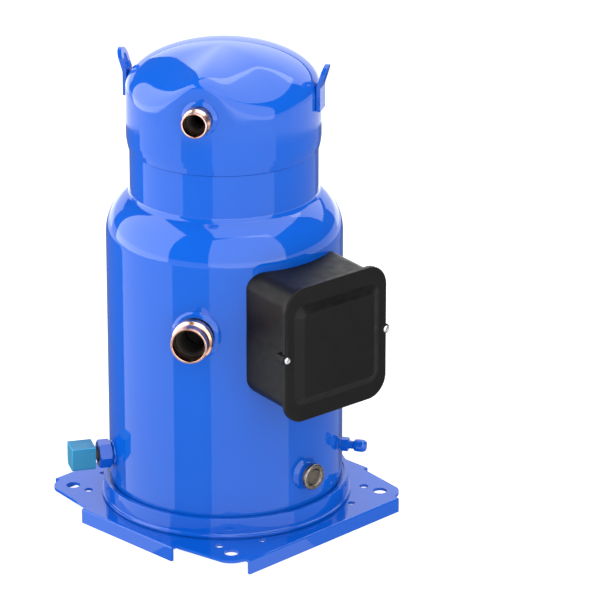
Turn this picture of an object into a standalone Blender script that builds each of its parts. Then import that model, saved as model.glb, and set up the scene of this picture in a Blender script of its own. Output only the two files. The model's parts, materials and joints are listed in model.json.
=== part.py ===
"""Scroll compressor for refrigerant, as an assembly of separate solids.

Units are metres, +Z is up.  The origin lies on the shaft axis, in the plane of the
base plate's underside, where the sump's flat bottom also lies.  The base plate's
sides run along X and Y.  Angles around the shell are in degrees from +X towards +Y.
"""

from math import atan2, cos, degrees, exp, pi, radians, sin, sqrt

import bmesh
import bpy
from mathutils import Matrix, Vector

# ---------------------------------------------------------------- driving dimensions
GAP = 0.0003                 # between pieces that touch

PLATE_TOP = 0.0038           # sheet thickness of the base plate
PLATE_HALF_X = 0.1715        # bend line of the two short flanges
PLATE_HALF_Y = 0.1750        # bend line of the two long flanges
FLANGE_BOTTOM = -0.0155
LONG_FLANGE_HALF = 0.1340
SHORT_FLANGE_HALF = 0.0830
BOLT_HALF_X, BOLT_HALF_Y, BOLT_R = 0.1335, 0.1465, 0.0090
CORNER_R = 0.0245            # corner radius about each bolt hole
SUMP_OPENING_R = 0.0980      # round opening in the middle of the base plate

BODY_R, NECK_R, CAP_R, SKIRT_R = 0.1495, 0.1185, 0.1222, 0.1576
WALL = 0.0050
SKIRT_TOP = 0.0305
SHOULDER_LOW, SHOULDER_HIGH = 0.3600, 0.4180
SPIGOT_R = 0.1165            # neck where the cap slips over it
CAP_LOW, CAP_FULL = 0.4734, 0.4871
NECK_TOP = 0.5020
KNUCKLE_Z, APEX_Z = 0.5505, 0.6055

PORT_ANGLE = -148.0          # suction and discharge tubes
BOX_ANGLE = -94.5            # terminal box
SIGHT_ANGLE = -92.0
SERVICE_ANGLE = -60.0
INJECTION_ANGLE = 150.0
LUG_ANGLES = {"left": 120.0, "right": -60.0}

SUCTION_Z, DISCHARGE_Z = 0.2745, 0.5480
SUCTION_OUT_R, SUCTION_BORE_R = 0.0225, 0.0207
DISCHARGE_OUT_R, DISCHARGE_BORE_R = 0.0155, 0.0143
SIGHT_Z, SERVICE_Z, INJECTION_Z = 0.0725, 0.0830, 0.0705
BOX_Z = 0.2697               # height of the cover's middle
BOX_HALF_W, BOX_HALF_H, BOX_CORNER = 0.0735, 0.0811, 0.0220
BOX_LIFT, BOX_SLOPE = 0.0051, 0.0690     # rise of the box's middle at the shell, and its fall
BOX_WALL = 0.0030
BOX_FRONT = 0.2122           # distance of the box's open rim from the shaft axis
COVER_HALF_W, COVER_HALF_H, COVER_CORNER = 0.0822, 0.0880, 0.0285
LIP_BACK, COVER_FRONT = 0.2090, 0.2158
COVER_SCREW_X = 0.0810
EAR_R = 0.0066
PANEL_BASE = (0.0688, 0.0662, 0.0165)    # half width, half height, corner radius
PANEL_TOP = (0.0566, 0.0548, 0.0060)
PANEL_RISE = 0.0055

ORBIT = 0.0060               # eccentricity of the crank pin
WRAP_PITCH, WRAP_THICK = 0.0220, 0.0045
WRAP_START, WRAP_END = 4.4, 18.2     # involute angles in radians

SHELL_STEPS, INNER_STEPS, TUBE_STEPS, SMALL_STEPS = 36, 24, 16, 12
BEARING_STEPS = 32           # journals and the bearings that they turn in

COLOURS = {                  # base colour, roughness, metallic
    "blue_paint": ((0.023, 0.147, 0.708), 0.18, 0.0),
    "copper": ((0.83, 0.42, 0.27), 0.25, 1.0),
    "black_plastic": ((0.020, 0.020, 0.021), 0.42, 0.0),
    "steel": ((0.60, 0.60, 0.61), 0.30, 1.0),
    "cast_iron": ((0.21, 0.21, 0.22), 0.60, 0.8),
    "aluminium": ((0.72, 0.73, 0.74), 0.35, 1.0),
    "brass": ((0.80, 0.60, 0.28), 0.30, 1.0),
    "glass": ((0.75, 0.78, 0.74), 0.05, 0.0),
    "coil_plastic": ((0.045, 0.270, 0.480), 0.50, 0.0),
    "lamination": ((0.30, 0.31, 0.33), 0.50, 0.9),
    "winding": ((0.72, 0.33, 0.15), 0.45, 0.6),
    "white_ceramic": ((0.80, 0.79, 0.75), 0.35, 0.0),
}


# ---------------------------------------------------------------- helpers
def clear_scene():
    for old in list(bpy.data.objects):
        bpy.data.objects.remove(old, do_unlink=True)


def make_material(name):
    colour, roughness, metallic = COLOURS[name]
    material = bpy.data.materials.new(name)
    material.use_nodes = True
    shader = material.node_tree.nodes["Principled BSDF"]
    shader.inputs["Base Color"].default_value = (*colour, 1.0)
    shader.inputs["Roughness"].default_value = roughness
    shader.inputs["Metallic"].default_value = metallic
    return material


def add_object(name, work, slot, place=None, smooth=True):
    """Turn a bmesh into an object with its own material."""
    bmesh.ops.remove_doubles(work, verts=work.verts, dist=1e-6)
    bmesh.ops.recalc_face_normals(work, faces=work.faces)
    mesh = bpy.data.meshes.new(name)
    work.to_mesh(mesh)
    work.free()
    if smooth:
        mesh.shade_smooth()
        mesh.set_sharp_from_angle(angle=radians(35))
    thing = bpy.data.objects.new(name, mesh)
    bpy.context.scene.collection.objects.link(thing)
    if slot:
        own = make_material(slot)
        own.name = f"{name}_{slot}"
        mesh.materials.append(own)
    if place is not None:
        thing.matrix_world = place
    return thing


def as_tool(thing):
    """Mark an object as a cutter or a filler that is not a piece itself."""
    thing.hide_render = True
    thing.display_type = "WIRE"
    return thing


def combine(thing, tool, operation="DIFFERENCE"):
    step = thing.modifiers.new(tool.name, "BOOLEAN")
    step.operation = operation
    step.solver = "EXACT"
    step.object = as_tool(tool)


def turned(outline, steps):
    """Spin a closed (radius, height) outline once round the local Z axis."""
    work = bmesh.new()
    corners = [work.verts.new((radius, 0.0, height)) for radius, height in outline]
    for here, there in zip(corners, corners[1:] + corners[:1]):
        if here.co.x > 1e-9 or there.co.x > 1e-9:
            work.edges.new((here, there))
    bmesh.ops.spin(work, geom=list(work.verts) + list(work.edges), cent=(0, 0, 0),
                   axis=(0, 0, 1), angle=2 * pi, steps=steps, use_merge=True)
    return work


def extruded(outline, low, high):
    """Prism over a closed (x, y) outline between two heights."""
    work = bmesh.new()
    face = work.faces.new([work.verts.new((x, y, low)) for x, y in outline])
    lifted = bmesh.ops.extrude_face_region(work, geom=[face])
    moved = [part for part in lifted["geom"] if isinstance(part, bmesh.types.BMVert)]
    bmesh.ops.translate(work, verts=moved, vec=(0, 0, high - low))
    return work


def arc(centre, radius, start, end, steps):
    """Points on an arc, angles in degrees."""
    angles = [radians(start + (end - start) * k / steps) for k in range(steps + 1)]
    return [(centre[0] + radius * cos(a), centre[1] + radius * sin(a)) for a in angles]


def rounded_rectangle(half_w, half_h, corner, steps=6):
    points = []
    for sx, sy, start in ((1, 1, 0), (-1, 1, 90), (-1, -1, 180), (1, -1, 270)):
        centre = (sx * (half_w - corner), sy * (half_h - corner))
        points += arc(centre, corner, start, start + 90, steps)
    return points


def ring(inner, outer, low, high):
    return [(inner, low), (outer, low), (outer, high), (inner, high)]


def disc(outer, low, high):
    return ring(0.0, outer, low, high)


def outward(angle, height, distance=0.0):
    """Frame whose Z points out of the shell, X along it and Y up."""
    turn = radians(angle)
    out = Vector((cos(turn), sin(turn), 0.0))
    along = Vector((-sin(turn), cos(turn), 0.0))
    frame = Matrix.Identity(4)
    for row in range(3):
        frame[row][0] = along[row]
        frame[row][1] = (0.0, 0.0, 1.0)[row]
        frame[row][2] = out[row]
    frame.translation = out * distance + Vector((0, 0, height))
    return frame


def round_cutter(name, radius, low, high, place=None, steps=SMALL_STEPS):
    return add_object(name, turned(disc(radius, low, high), steps), None, place)


def lathe(name, outline, slot, steps=TUBE_STEPS, place=None):
    return add_object(name, turned(outline, steps), slot, place)


# ---------------------------------------------------------------- casing
def base_plate():
    """Pressed plate: four eared corners, two long and two short flanges hanging down."""
    notch = 0.0045
    outline = []
    for sx, sy in ((1, 1), (-1, 1), (-1, -1), (1, -1)):
        near_short = [(sx * PLATE_HALF_X, sy * SHORT_FLANGE_HALF),
                      (sx * (PLATE_HALF_X - 0.0040), sy * (SHORT_FLANGE_HALF + notch)),
                      (sx * (BOLT_HALF_X + CORNER_R - 0.0005), sy * BOLT_HALF_Y)]
        middle = arc((BOLT_HALF_X, BOLT_HALF_Y), CORNER_R, 12, 78, 5)
        near_long = [(sx * (LONG_FLANGE_HALF + notch), sy * (BOLT_HALF_Y + CORNER_R - 0.0003)),
                     (sx * LONG_FLANGE_HALF, sy * PLATE_HALF_Y)]
        corner = near_short + [(sx * x, sy * y) for x, y in middle] + near_long
        outline += corner if sx * sy > 0 else corner[::-1]
    plate = add_object("base_plate", extruded(outline, 0.0, PLATE_TOP), "blue_paint")

    bend = 0.0040
    section = [(-0.0020, 0.0), (0.0, 0.0)]
    section += arc((0.0, -0.0005), 0.0005, 90, 0, 2)[1:]
    section += [(0.0005, FLANGE_BOTTOM), (PLATE_TOP + 0.0005, FLANGE_BOTTOM)]
    section += arc((0.0, -0.0005 + PLATE_TOP - bend), bend + 0.0010, 0, 90, 4)
    section += [(-0.0020, PLATE_TOP)]
    for name, half, reach, turn in (("flange_east", SHORT_FLANGE_HALF, PLATE_HALF_X, 0),
                                    ("flange_north", LONG_FLANGE_HALF, PLATE_HALF_Y, 90),
                                    ("flange_west", SHORT_FLANGE_HALF, PLATE_HALF_X, 180),
                                    ("flange_south", LONG_FLANGE_HALF, PLATE_HALF_Y, 270)):
        strip = extruded(section, -half, half)
        stand = Matrix.Rotation(radians(turn), 4, "Z") @ Matrix.Translation((reach, 0, 0))
        strip = add_object(name, strip, None, stand @ Matrix.Rotation(radians(90), 4, "X"))
        combine(plate, strip, "UNION")

    combine(plate, round_cutter("sump_opening", SUMP_OPENING_R, -0.01, 0.02, steps=SHELL_STEPS))
    holes = ((BOLT_HALF_X, BOLT_HALF_Y, BOLT_R), (0.1295, 0.1215, 0.0057), (0.0800, 0.1475, 0.0047))
    for sx in (-1, 1):
        for sy in (-1, 1):
            for number, (x, y, radius) in enumerate(holes):
                place = Matrix.Translation((sx * x, sy * y, 0))
                name = f"plate_hole_{number}_{sx}_{sy}"
                combine(plate, round_cutter(name, radius, -0.01, 0.02, place))
    return plate


def bottom_cap():
    """Sump dish whose skirt takes the lower end of the shell."""
    inner = BODY_R + GAP
    rim = PLATE_TOP + GAP
    outline = [(0.0, 0.0), (0.0930, 0.0), (0.0965, rim), (SKIRT_R - 0.0030, rim)]
    outline += [(SKIRT_R, rim + 0.0030), (SKIRT_R, SKIRT_TOP - 0.0050)]
    outline += [(SKIRT_R - 0.0012, SKIRT_TOP - 0.0015), (SKIRT_R - 0.0040, SKIRT_TOP)]
    outline += [(inner, SKIRT_TOP), (inner, 0.0120), (0.1400, 0.0100), (0.0900, 0.0060)]
    outline += [(0.0, 0.0060)]
    return lathe("bottom_cap", outline, "blue_paint", SHELL_STEPS)


def shoulder(body, neck, low, high, steps):
    """Two tangent arcs from the body radius in to the neck radius, from low to high."""
    half = atan2(body - neck, high - low)
    total = (high - low) / sin(2 * half)
    tight = 0.22 * total
    wide = total - tight
    sweep = degrees(2 * half)
    convex = arc((body - wide, low), wide, 0, sweep, steps)
    concave = arc((neck + tight, high), tight, 180 + sweep, 180, 3)
    return convex + concave[1:]


def main_shell():
    outer = [(BODY_R, 0.0125)]
    outer += shoulder(BODY_R, NECK_R, SHOULDER_LOW, SHOULDER_HIGH, 5)
    outer += [(NECK_R, CAP_LOW - GAP), (SPIGOT_R, CAP_LOW - GAP), (SPIGOT_R, NECK_TOP)]
    inner = [(BODY_R - WALL, 0.0125)]
    inner += shoulder(BODY_R - WALL, NECK_R - WALL, SHOULDER_LOW, SHOULDER_HIGH + 0.001, 4)
    inner += [(NECK_R - WALL, NECK_TOP)]
    shell = lathe("main_shell", outer + inner[::-1], "blue_paint", SHELL_STEPS)
    ports = (("suction_hole", 0.0265, PORT_ANGLE, SUCTION_Z),
             ("terminal_hole", 0.0300, BOX_ANGLE, BOX_Z),
             ("sight_hole", 0.0130, SIGHT_ANGLE, SIGHT_Z),
             ("service_hole", 0.0050, SERVICE_ANGLE, SERVICE_Z),
             ("injection_hole", 0.0100, INJECTION_ANGLE, INJECTION_Z))
    for name, radius, angle, height in ports:
        cutter = round_cutter(name, radius, 0.10, 0.18, outward(angle, height), TUBE_STEPS)
        combine(shell, cutter)
    return shell


def scallop(angle):
    """Height of the dome's edge above its mean: a crest over the port, a dip each side."""
    away = (angle - PORT_ANGLE + 180) % 360 - 180
    crest = 0.0360 * exp(-(away / 18.5) ** 2)
    dips = 0.0085 * exp(-((abs(away) - 42.0) / 17.0) ** 2)
    return crest - dips


def dome(radius, knuckle, apex, steps):
    """Elliptical dome profile from the knuckle up to the apex."""
    points = arc((0.0, 0.0), 1.0, 0, 90, steps)
    return [(radius * x, knuckle + (apex - knuckle) * y) for x, y in points[:-1]] + [(0.0, apex)]


def top_cap():
    """Deep-drawn cap, whose dome edge rises in a wave over the discharge tube."""
    inner_r = SPIGOT_R + GAP
    outer = [(NECK_R + 0.0001, CAP_LOW), (CAP_R - 0.0010, CAP_LOW + 0.0075), (CAP_R, CAP_FULL)]
    outer += dome(CAP_R, KNUCKLE_Z, APEX_Z, 9)
    inner = [(inner_r, CAP_LOW)] + dome(inner_r, KNUCKLE_Z - 0.002, APEX_Z - WALL, 7)
    cap = turned(outer + inner[::-1], SHELL_STEPS)
    for corner in cap.verts:
        radius = sqrt(corner.co.x ** 2 + corner.co.y ** 2)
        lift = scallop(degrees(atan2(corner.co.y, corner.co.x)))
        if corner.co.z > KNUCKLE_Z - 0.003:
            outside = min(radius / CAP_R, 1.0)
            share = 1.0 - sqrt(max(0.0, 1.0 - outside ** 2))
            corner.co.z += lift * share
    cap = add_object("top_cap", cap, "blue_paint")
    port = outward(PORT_ANGLE, DISCHARGE_Z)
    hole = round_cutter("discharge_hole", 0.0185, 0.09, 0.15, port, TUBE_STEPS)
    combine(cap, hole)
    return cap


def lifting_lug(side):
    """Flat bar welded to the cap's wall, its upper half leaning out, with a slotted eye."""
    thick, half, lean = 0.0050, 0.0125, radians(17)
    foot, bend, tip = 0.5310, 0.5630, 0.5900
    place = outward(LUG_ANGLES[side], 0.0, CAP_R + GAP)
    slope = sin(lean) / cos(lean)
    knee = thick * sin(lean / 2) / cos(lean / 2)
    profile = [(foot, 0.0), (foot, thick), (bend, thick), (tip, thick + (tip - bend) * slope),
               (tip, (tip - bend - knee) * slope), (bend + knee, 0.0)]
    work = bmesh.new()
    face = work.faces.new([work.verts.new((-half, height, out)) for height, out in profile])
    lifted = bmesh.ops.extrude_face_region(work, geom=[face])
    moved = [part for part in lifted["geom"] if isinstance(part, bmesh.types.BMVert)]
    bmesh.ops.translate(work, verts=moved, vec=(2 * half, 0, 0))
    lug = add_object(f"lifting_lug_{side}", work, "blue_paint", place, smooth=False)

    round_end = arc((0.0, tip - half), half, 0, 180, 8) + [(-half, 0.52), (half, 0.52)]
    blank = add_object(f"lug_blank_{side}", extruded(round_end, -0.02, 0.04), None, place)
    combine(lug, blank, "INTERSECT")
    eye_r, eye_low, eye_high = 0.0055, 0.5700, 0.5775
    eye = arc((0.0, eye_high), eye_r, 0, 180, 6) + arc((0.0, eye_low), eye_r, 180, 360, 6)
    combine(lug, add_object(f"lug_eye_{side}", extruded(eye, -0.02, 0.04), None, place))
    return lug


# ---------------------------------------------------------------- refrigerant ports
def socket_outline(bore, out, root, tip, bead, bead_at, sleeve):
    """Solder socket: bore, flared mouth, swaged bead and the sleeve inside the wall."""
    lip = out + 0.0008
    outer = [(sleeve, root), (sleeve, bead_at - 0.0060), (bead, bead_at - 0.0040)]
    outer += [(bead, bead_at + 0.0035), (out, bead_at + 0.0060)]
    outer += [(out, tip - 0.0045), (lip, tip - 0.0030), (lip, tip)]
    inner = [(bore, tip), (bore, root + 0.0100), (bore - 0.0020, root + 0.0090)]
    inner += [(bore - 0.0020, root)]
    return outer + inner


def refrigerant_ports():
    suction = outward(PORT_ANGLE, SUCTION_Z)
    fitting = [(0.0235, 0.1430), (0.0262, 0.1430), (0.0262, 0.1500), (0.0285, 0.1508)]
    fitting += [(0.0275, 0.1525), (0.0235, 0.1525)]
    lathe("suction_fitting", fitting, "blue_paint", TUBE_STEPS, suction)
    outline = socket_outline(SUCTION_BORE_R, SUCTION_OUT_R, 0.1400, 0.1865, 0.0262, 0.1590, 0.0232)
    lathe("suction_tube", outline, "copper", TUBE_STEPS, suction)

    discharge = outward(PORT_ANGLE, DISCHARGE_Z)
    fitting = [(0.0165, 0.1150), (0.0181, 0.1150), (0.0181, 0.1226), (0.0198, 0.1230)]
    fitting += [(0.0188, 0.1246), (0.0165, 0.1246)]
    lathe("discharge_fitting", fitting, "blue_paint", TUBE_STEPS, discharge)
    outline = socket_outline(DISCHARGE_BORE_R, DISCHARGE_OUT_R, 0.1120, 0.1500, 0.0180, 0.1310,
                             0.0162)
    lathe("discharge_tube", outline, "copper", TUBE_STEPS, discharge)


# ---------------------------------------------------------------- terminal box
def box_block(name, half_w, half_h, corner, low, high, slot=None):
    """Rounded block along the box's axis, falling gently from the shell to the front."""
    work = extruded(rounded_rectangle(half_w, half_h, corner), low, high)
    for corner_point in work.verts:
        corner_point.co.y += BOX_LIFT - BOX_SLOPE * (corner_point.co.z - BODY_R)
    return add_object(name, work, slot, outward(BOX_ANGLE, BOX_Z))


def terminal_box():
    """Moulded box, open in front, with a back that follows the shell and two screw bosses."""
    place = outward(BOX_ANGLE, BOX_Z)
    box = box_block("terminal_box", BOX_HALF_W, BOX_HALF_H, BOX_CORNER, 0.1150, BOX_FRONT,
                    "black_plastic")
    for side in (-1, 1):
        boss_place = place @ Matrix.Translation((side * 0.0785, 0, 0))
        outline = rounded_rectangle(0.0065, 0.0052, 0.0035, 3)
        boss = add_object(f"screw_boss_{side}", extruded(outline, 0.1990, LIP_BACK - GAP), None,
                          boss_place)
        combine(box, boss, "UNION")
    combine(box, round_cutter("shell_stand_in", BODY_R + GAP, 0.1, 0.45, steps=SHELL_STEPS))
    hollow = box_block("box_hollow", BOX_HALF_W - BOX_WALL, BOX_HALF_H - BOX_WALL,
                       BOX_CORNER - BOX_WALL, 0.1160, BOX_FRONT + 0.01)
    inner = round_cutter("box_back", BODY_R + GAP + BOX_WALL, 0.1, 0.45, steps=SHELL_STEPS)
    combine(hollow, inner)
    combine(box, hollow)
    for side in (-1, 1):
        thread_place = place @ Matrix.Translation((side * COVER_SCREW_X, 0, 0))
        combine(box, round_cutter(f"boss_thread_{side}", 0.0026, 0.2030, 0.23, thread_place))
    combine(box, round_cutter("box_terminal_hole", 0.0340, 0.12, 0.18, place, TUBE_STEPS))
    entry = place @ Matrix.Translation((0.030, 0.0, 0.186)) @ Matrix.Rotation(radians(90), 4, "X")
    combine(box, round_cutter("cable_entry", 0.0127, 0.05, 0.10, entry))
    earth = place @ Matrix.Translation((0.052, 0.050, 0.0))
    combine(box, round_cutter("earth_hole", 0.0024, 0.120, 0.16, earth))
    return box


def terminal_box_cover():
    """Tray-shaped lid with a raised, bevelled panel and two ears for its screws."""
    place = outward(BOX_ANGLE, BOX_Z)
    outline = rounded_rectangle(COVER_HALF_W, COVER_HALF_H, COVER_CORNER)
    work = extruded(outline, LIP_BACK, COVER_FRONT)
    cover = add_object("terminal_box_cover", work, "black_plastic", place)
    for side in (-1, 1):
        ear_place = place @ Matrix.Translation((side * COVER_SCREW_X, 0, 0))
        ear = round_cutter(f"cover_ear_{side}", EAR_R, LIP_BACK, COVER_FRONT, ear_place)
        combine(cover, ear, "UNION")
    hollow = box_block("cover_hollow", BOX_HALF_W + 0.0006, BOX_HALF_H + 0.0008, BOX_CORNER,
                       0.1900, BOX_FRONT + GAP)
    combine(cover, hollow)
    panel = bmesh.new()
    low = [panel.verts.new((x, y, COVER_FRONT - 0.001))
           for x, y in rounded_rectangle(*PANEL_BASE)]
    high = [panel.verts.new((x, y, COVER_FRONT + PANEL_RISE))
            for x, y in rounded_rectangle(*PANEL_TOP)]
    panel.faces.new(low[::-1])
    panel.faces.new(high)
    for k in range(len(low)):
        following = (k + 1) % len(low)
        panel.faces.new((low[k], low[following], high[following], high[k]))
    combine(cover, add_object("cover_panel", panel, None, place), "UNION")
    for side in (-1, 1):
        hole_place = place @ Matrix.Translation((side * COVER_SCREW_X, 0, 0))
        combine(cover, round_cutter(f"cover_hole_{side}", 0.0026, 0.19, 0.23, hole_place))
    return cover


def cover_screws():
    for side, name in ((-1, "cover_screw_left"), (1, "cover_screw_right")):
        outline = [(0.0, 0.2040), (0.0022, 0.2040), (0.0022, COVER_FRONT + GAP)]
        outline += [(0.0044, COVER_FRONT + GAP), (0.0044, COVER_FRONT + 0.0022)]
        outline += [(0.0030, COVER_FRONT + 0.0034), (0.0, COVER_FRONT + 0.0036)]
        place = outward(BOX_ANGLE, BOX_Z) @ Matrix.Translation((side * COVER_SCREW_X, 0, 0))
        screw = lathe(name, outline, "steel", SMALL_STEPS, place)
        slot = extruded([(-0.006, -0.0005), (0.006, -0.0005), (0.006, 0.0005), (-0.006, 0.0005)],
                        COVER_FRONT + 0.0024, COVER_FRONT + 0.01)
        combine(screw, add_object(f"{name}_slot", slot, None, place))


def terminals():
    """Sealed plate in the shell, three pins through it, and the block they serve."""
    place = outward(BOX_ANGLE, BOX_Z)
    plate_outline = [(0.0, 0.1455), (0.0290, 0.1455), (0.0290, 0.1505), (0.0, 0.1505)]
    plate = lathe("terminal_plate", plate_outline, "steel", TUBE_STEPS, place)
    block = lathe("terminal_block", disc(0.0240, 0.1510, 0.1600), "white_ceramic", TUBE_STEPS, place)
    for number, turn in enumerate((90, 210, 330), start=1):
        x, y = 0.0125 * cos(radians(turn)), 0.0125 * sin(radians(turn))
        pin_place = place @ Matrix.Translation((x, y, 0))
        for host in (plate, block):
            cutter = round_cutter(f"{host.name}_pin_hole_{number}", 0.0030 + GAP, 0.14, 0.17,
                                  pin_place)
            combine(host, cutter)
        pin = [(0.0, 0.1300), (0.0030, 0.1300), (0.0030, 0.1720), (0.0022, 0.1730), (0.0, 0.1730)]
        lathe(f"terminal_pin_{number}", pin, "copper", SMALL_STEPS, pin_place)
    earth_place = place @ Matrix.Translation((0.052, 0.050, 0.0))
    earth = [(0.0, 0.1430), (0.0020, 0.1430), (0.0020, 0.1500), (0.0045, 0.1500)]
    earth += [(0.0045, 0.1535), (0.0, 0.1535)]
    lathe("earth_screw", earth, "brass", SMALL_STEPS, earth_place)


# ---------------------------------------------------------------- low fittings
def sight_glass():
    place = outward(SIGHT_ANGLE, SIGHT_Z)
    boss = [(0.0116, 0.1446), (0.0126, 0.1446), (0.0126, BODY_R + 0.0008), (0.0178, 0.1506)]
    boss += [(0.0166, 0.1530), (0.0150, 0.1535), (0.0150, 0.1600), (0.0116, 0.1600)]
    lathe("sight_glass_boss", boss, "blue_paint", TUBE_STEPS, place)
    holder = [(0.0078, 0.1450), (0.0113, 0.1450), (0.0113, 0.1603), (0.0168, 0.1603)]
    holder += [(0.0168, 0.1660), (0.0156, 0.1672), (0.0110, 0.1672), (0.0100, 0.1640)]
    holder += [(0.0078, 0.1640)]
    lathe("sight_glass_holder", holder, "steel", TUBE_STEPS, place)
    lens = [(0.0, 0.1560), (0.0075, 0.1560), (0.0075, 0.1643), (0.0095, 0.1646)]
    lens += [(0.0092, 0.1655), (0.0, 0.1658)]
    lathe("sight_glass_lens", lens, "glass", TUBE_STEPS, place)


def injection_valve():
    """Hexagonal port on the shell, with a solenoid valve and its square coil."""
    place = outward(INJECTION_ANGLE, INJECTION_Z)
    port = lathe("injection_port", disc(0.0185, 0.1520, 0.1672), "blue_paint", 6, place)
    stub = round_cutter("injection_stub", 0.0097, 0.1446, 0.1530, place, TUBE_STEPS)
    combine(port, stub, "UNION")
    combine(port, round_cutter("injection_bore", 0.0065, 0.13, 0.19, place))
    tube = [(0.0044, 0.1455), (0.0062, 0.1455), (0.0062, 0.2010), (0.0, 0.2010)]
    tube += [(0.0, 0.1990), (0.0044, 0.1990)]
    lathe("injection_valve_tube", tube, "steel", SMALL_STEPS, place)
    plunger = [(0.0, 0.1650), (0.0012, 0.1650), (0.0041, 0.1700), (0.0041, 0.1930), (0.0, 0.1930)]
    lathe("injection_valve_plunger", plunger, "steel", SMALL_STEPS, place)
    half, cut = 0.0155, 0.0040
    section = [(-half + cut, -half), (half - cut, -half), (half, -half + cut), (half, half),
               (-half, half), (-half, -half + cut)]
    coil = add_object("injection_valve_coil", extruded(section, 0.1740, 0.2050), "coil_plastic",
                      place, smooth=False)
    combine(coil, round_cutter("coil_bore", 0.0066, 0.17, 0.2015, place))


def service_valve():
    place = outward(SERVICE_ANGLE, SERVICE_Z)
    body = [(0.0020, 0.1446), (0.0047, 0.1446), (0.0047, 0.1508), (0.0068, 0.1508)]
    body += [(0.0068, 0.1535), (0.0040, 0.1545), (0.0040, 0.1560)]
    body += [(0.0040, 0.1600), (0.0038, 0.1700), (0.0038, 0.1770), (0.0020, 0.1770)]
    valve = lathe("service_valve_body", body, "blue_paint", SMALL_STEPS, place)
    nut = add_object("service_valve_nut", turned(disc(0.0088, 0.1545, 0.1615), 6), None, place)
    combine(nut, round_cutter("service_nut_bore", 0.0030, 0.15, 0.17, place))
    combine(valve, nut, "UNION")
    pin = [(0.0, 0.1500), (0.0014, 0.1500), (0.0014, 0.1745), (0.0, 0.1745)]
    lathe("service_valve_core_pin", pin, "brass", SMALL_STEPS, place)
    cap = [(0.0043, 0.1620), (0.0052, 0.1620), (0.0052, 0.1700), (0.0078, 0.1715)]
    cap += [(0.0080, 0.1735), (0.0080, 0.1830), (0.0062, 0.1855), (0.0, 0.1860)]
    cap += [(0.0, 0.1790), (0.0043, 0.1790)]
    lathe("service_valve_cap", cap, "blue_paint", TUBE_STEPS, place)


# ---------------------------------------------------------------- scroll set
def involute(angle, shift):
    """Point on the wrap's flank; shift is the flank's offset along the involute."""
    base = WRAP_PITCH / (2 * pi)
    unrolled = angle + shift / base
    return (base * (cos(angle) + unrolled * sin(angle)),
            base * (sin(angle) - unrolled * cos(angle)))


def wrap(name, low, high, turn):
    steps = 74
    angles = [WRAP_START + (WRAP_END - WRAP_START) * k / steps for k in range(steps + 1)]
    outline = [involute(a, WRAP_THICK / 2) for a in angles]
    outline += [involute(a, -WRAP_THICK / 2) for a in reversed(angles)]
    return add_object(name, extruded(outline, low, high), None, turn)


def scroll_set():
    orbit_place = Matrix.Translation((ORBIT, 0, 0))
    half_turn = Matrix.Rotation(pi, 4, "Z")
    plate_low, plate_high, wrap_top = 0.4203, 0.4318, 0.4634

    orbiting = lathe("orbiting_scroll", [(0.0, 0.4120), (0.0, plate_high), (0.0820, plate_high),
                                         (0.0820, plate_low), (0.0270, plate_low),
                                         (0.0270, 0.3925), (0.0200, 0.3925), (0.0200, 0.4120)],
                     "cast_iron", INNER_STEPS, orbit_place)
    combine(orbiting, wrap("orbiting_wrap", plate_high - 0.001, wrap_top, orbit_place @ half_turn),
            "UNION")
    for side in (-1, 1):
        slot = [(-0.0175, -0.02), (0.0175, -0.02), (0.0175, 0.03), (-0.0175, 0.03)]
        place = orbit_place @ Matrix.Translation((0, side * 0.0790, 0))
        cut = add_object(f"key_slot_{side}", extruded(slot, 0.41, 0.4296), None,
                         place @ Matrix.Rotation(0 if side > 0 else pi, 4, "Z"))
        combine(orbiting, cut)

    fixed = lathe("fixed_scroll", [(0.0, 0.4640), (0.0905, 0.4640), (0.0905, 0.4403),
                                   (0.1125, 0.4403), (0.1125, 0.4780), (0.0980, 0.4840),
                                   (0.0, 0.4840)], "cast_iron", INNER_STEPS)
    combine(fixed, wrap("fixed_wrap", 0.4323, 0.4650, Matrix.Identity(4)), "UNION")
    combine(fixed, round_cutter("scroll_outlet", 0.0070, 0.45, 0.50))
    inlet = outward(PORT_ANGLE, 0.4520, 0.0)
    combine(fixed, round_cutter("scroll_inlet", 0.0090, 0.088, 0.13, inlet))

    ring_place = Matrix.Translation((ORBIT, 0, 0))
    oldham = lathe("oldham_ring", ring(0.0680, 0.0820, 0.4095, 0.4180), "aluminium", INNER_STEPS,
                   ring_place)
    for side in (-1, 1):
        key = [(-0.0045, -0.0040), (0.0045, -0.0040), (0.0045, 0.0040), (-0.0045, 0.0040)]
        up = Matrix.Translation((0, side * 0.0740, 0))
        combine(oldham, add_object(f"upper_key_{side}", extruded(key, 0.4150, 0.4270), None,
                                   ring_place @ up), "UNION")
        down = Matrix.Translation((side * 0.0750, 0, 0))
        combine(oldham, add_object(f"lower_key_{side}", extruded(key, 0.4010, 0.4120), None,
                                   ring_place @ down), "UNION")

    valve = [(0.0, 0.4843), (0.0120, 0.4843), (0.0120, 0.4863), (0.0, 0.4863)]
    lathe("discharge_valve_disc", valve, "steel", TUBE_STEPS)
    guard = [(0.0130, 0.4843), (0.0240, 0.4843), (0.0240, 0.4863), (0.0160, 0.4880)]
    guard += [(0.0160, 0.4935), (0.0040, 0.4935), (0.0040, 0.4915), (0.0130, 0.4915)]
    lathe("discharge_valve_guard", guard, "steel", TUBE_STEPS)
    partition = [(0.0260, 0.4900), (0.0600, 0.4900), (0.1050, 0.4960), (0.1127, 0.4960)]
    partition += [(0.1127, 0.5000), (0.1045, 0.5000), (0.0595, 0.4940), (0.0260, 0.4940)]
    lathe("partition_plate", partition, "steel", INNER_STEPS)


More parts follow.
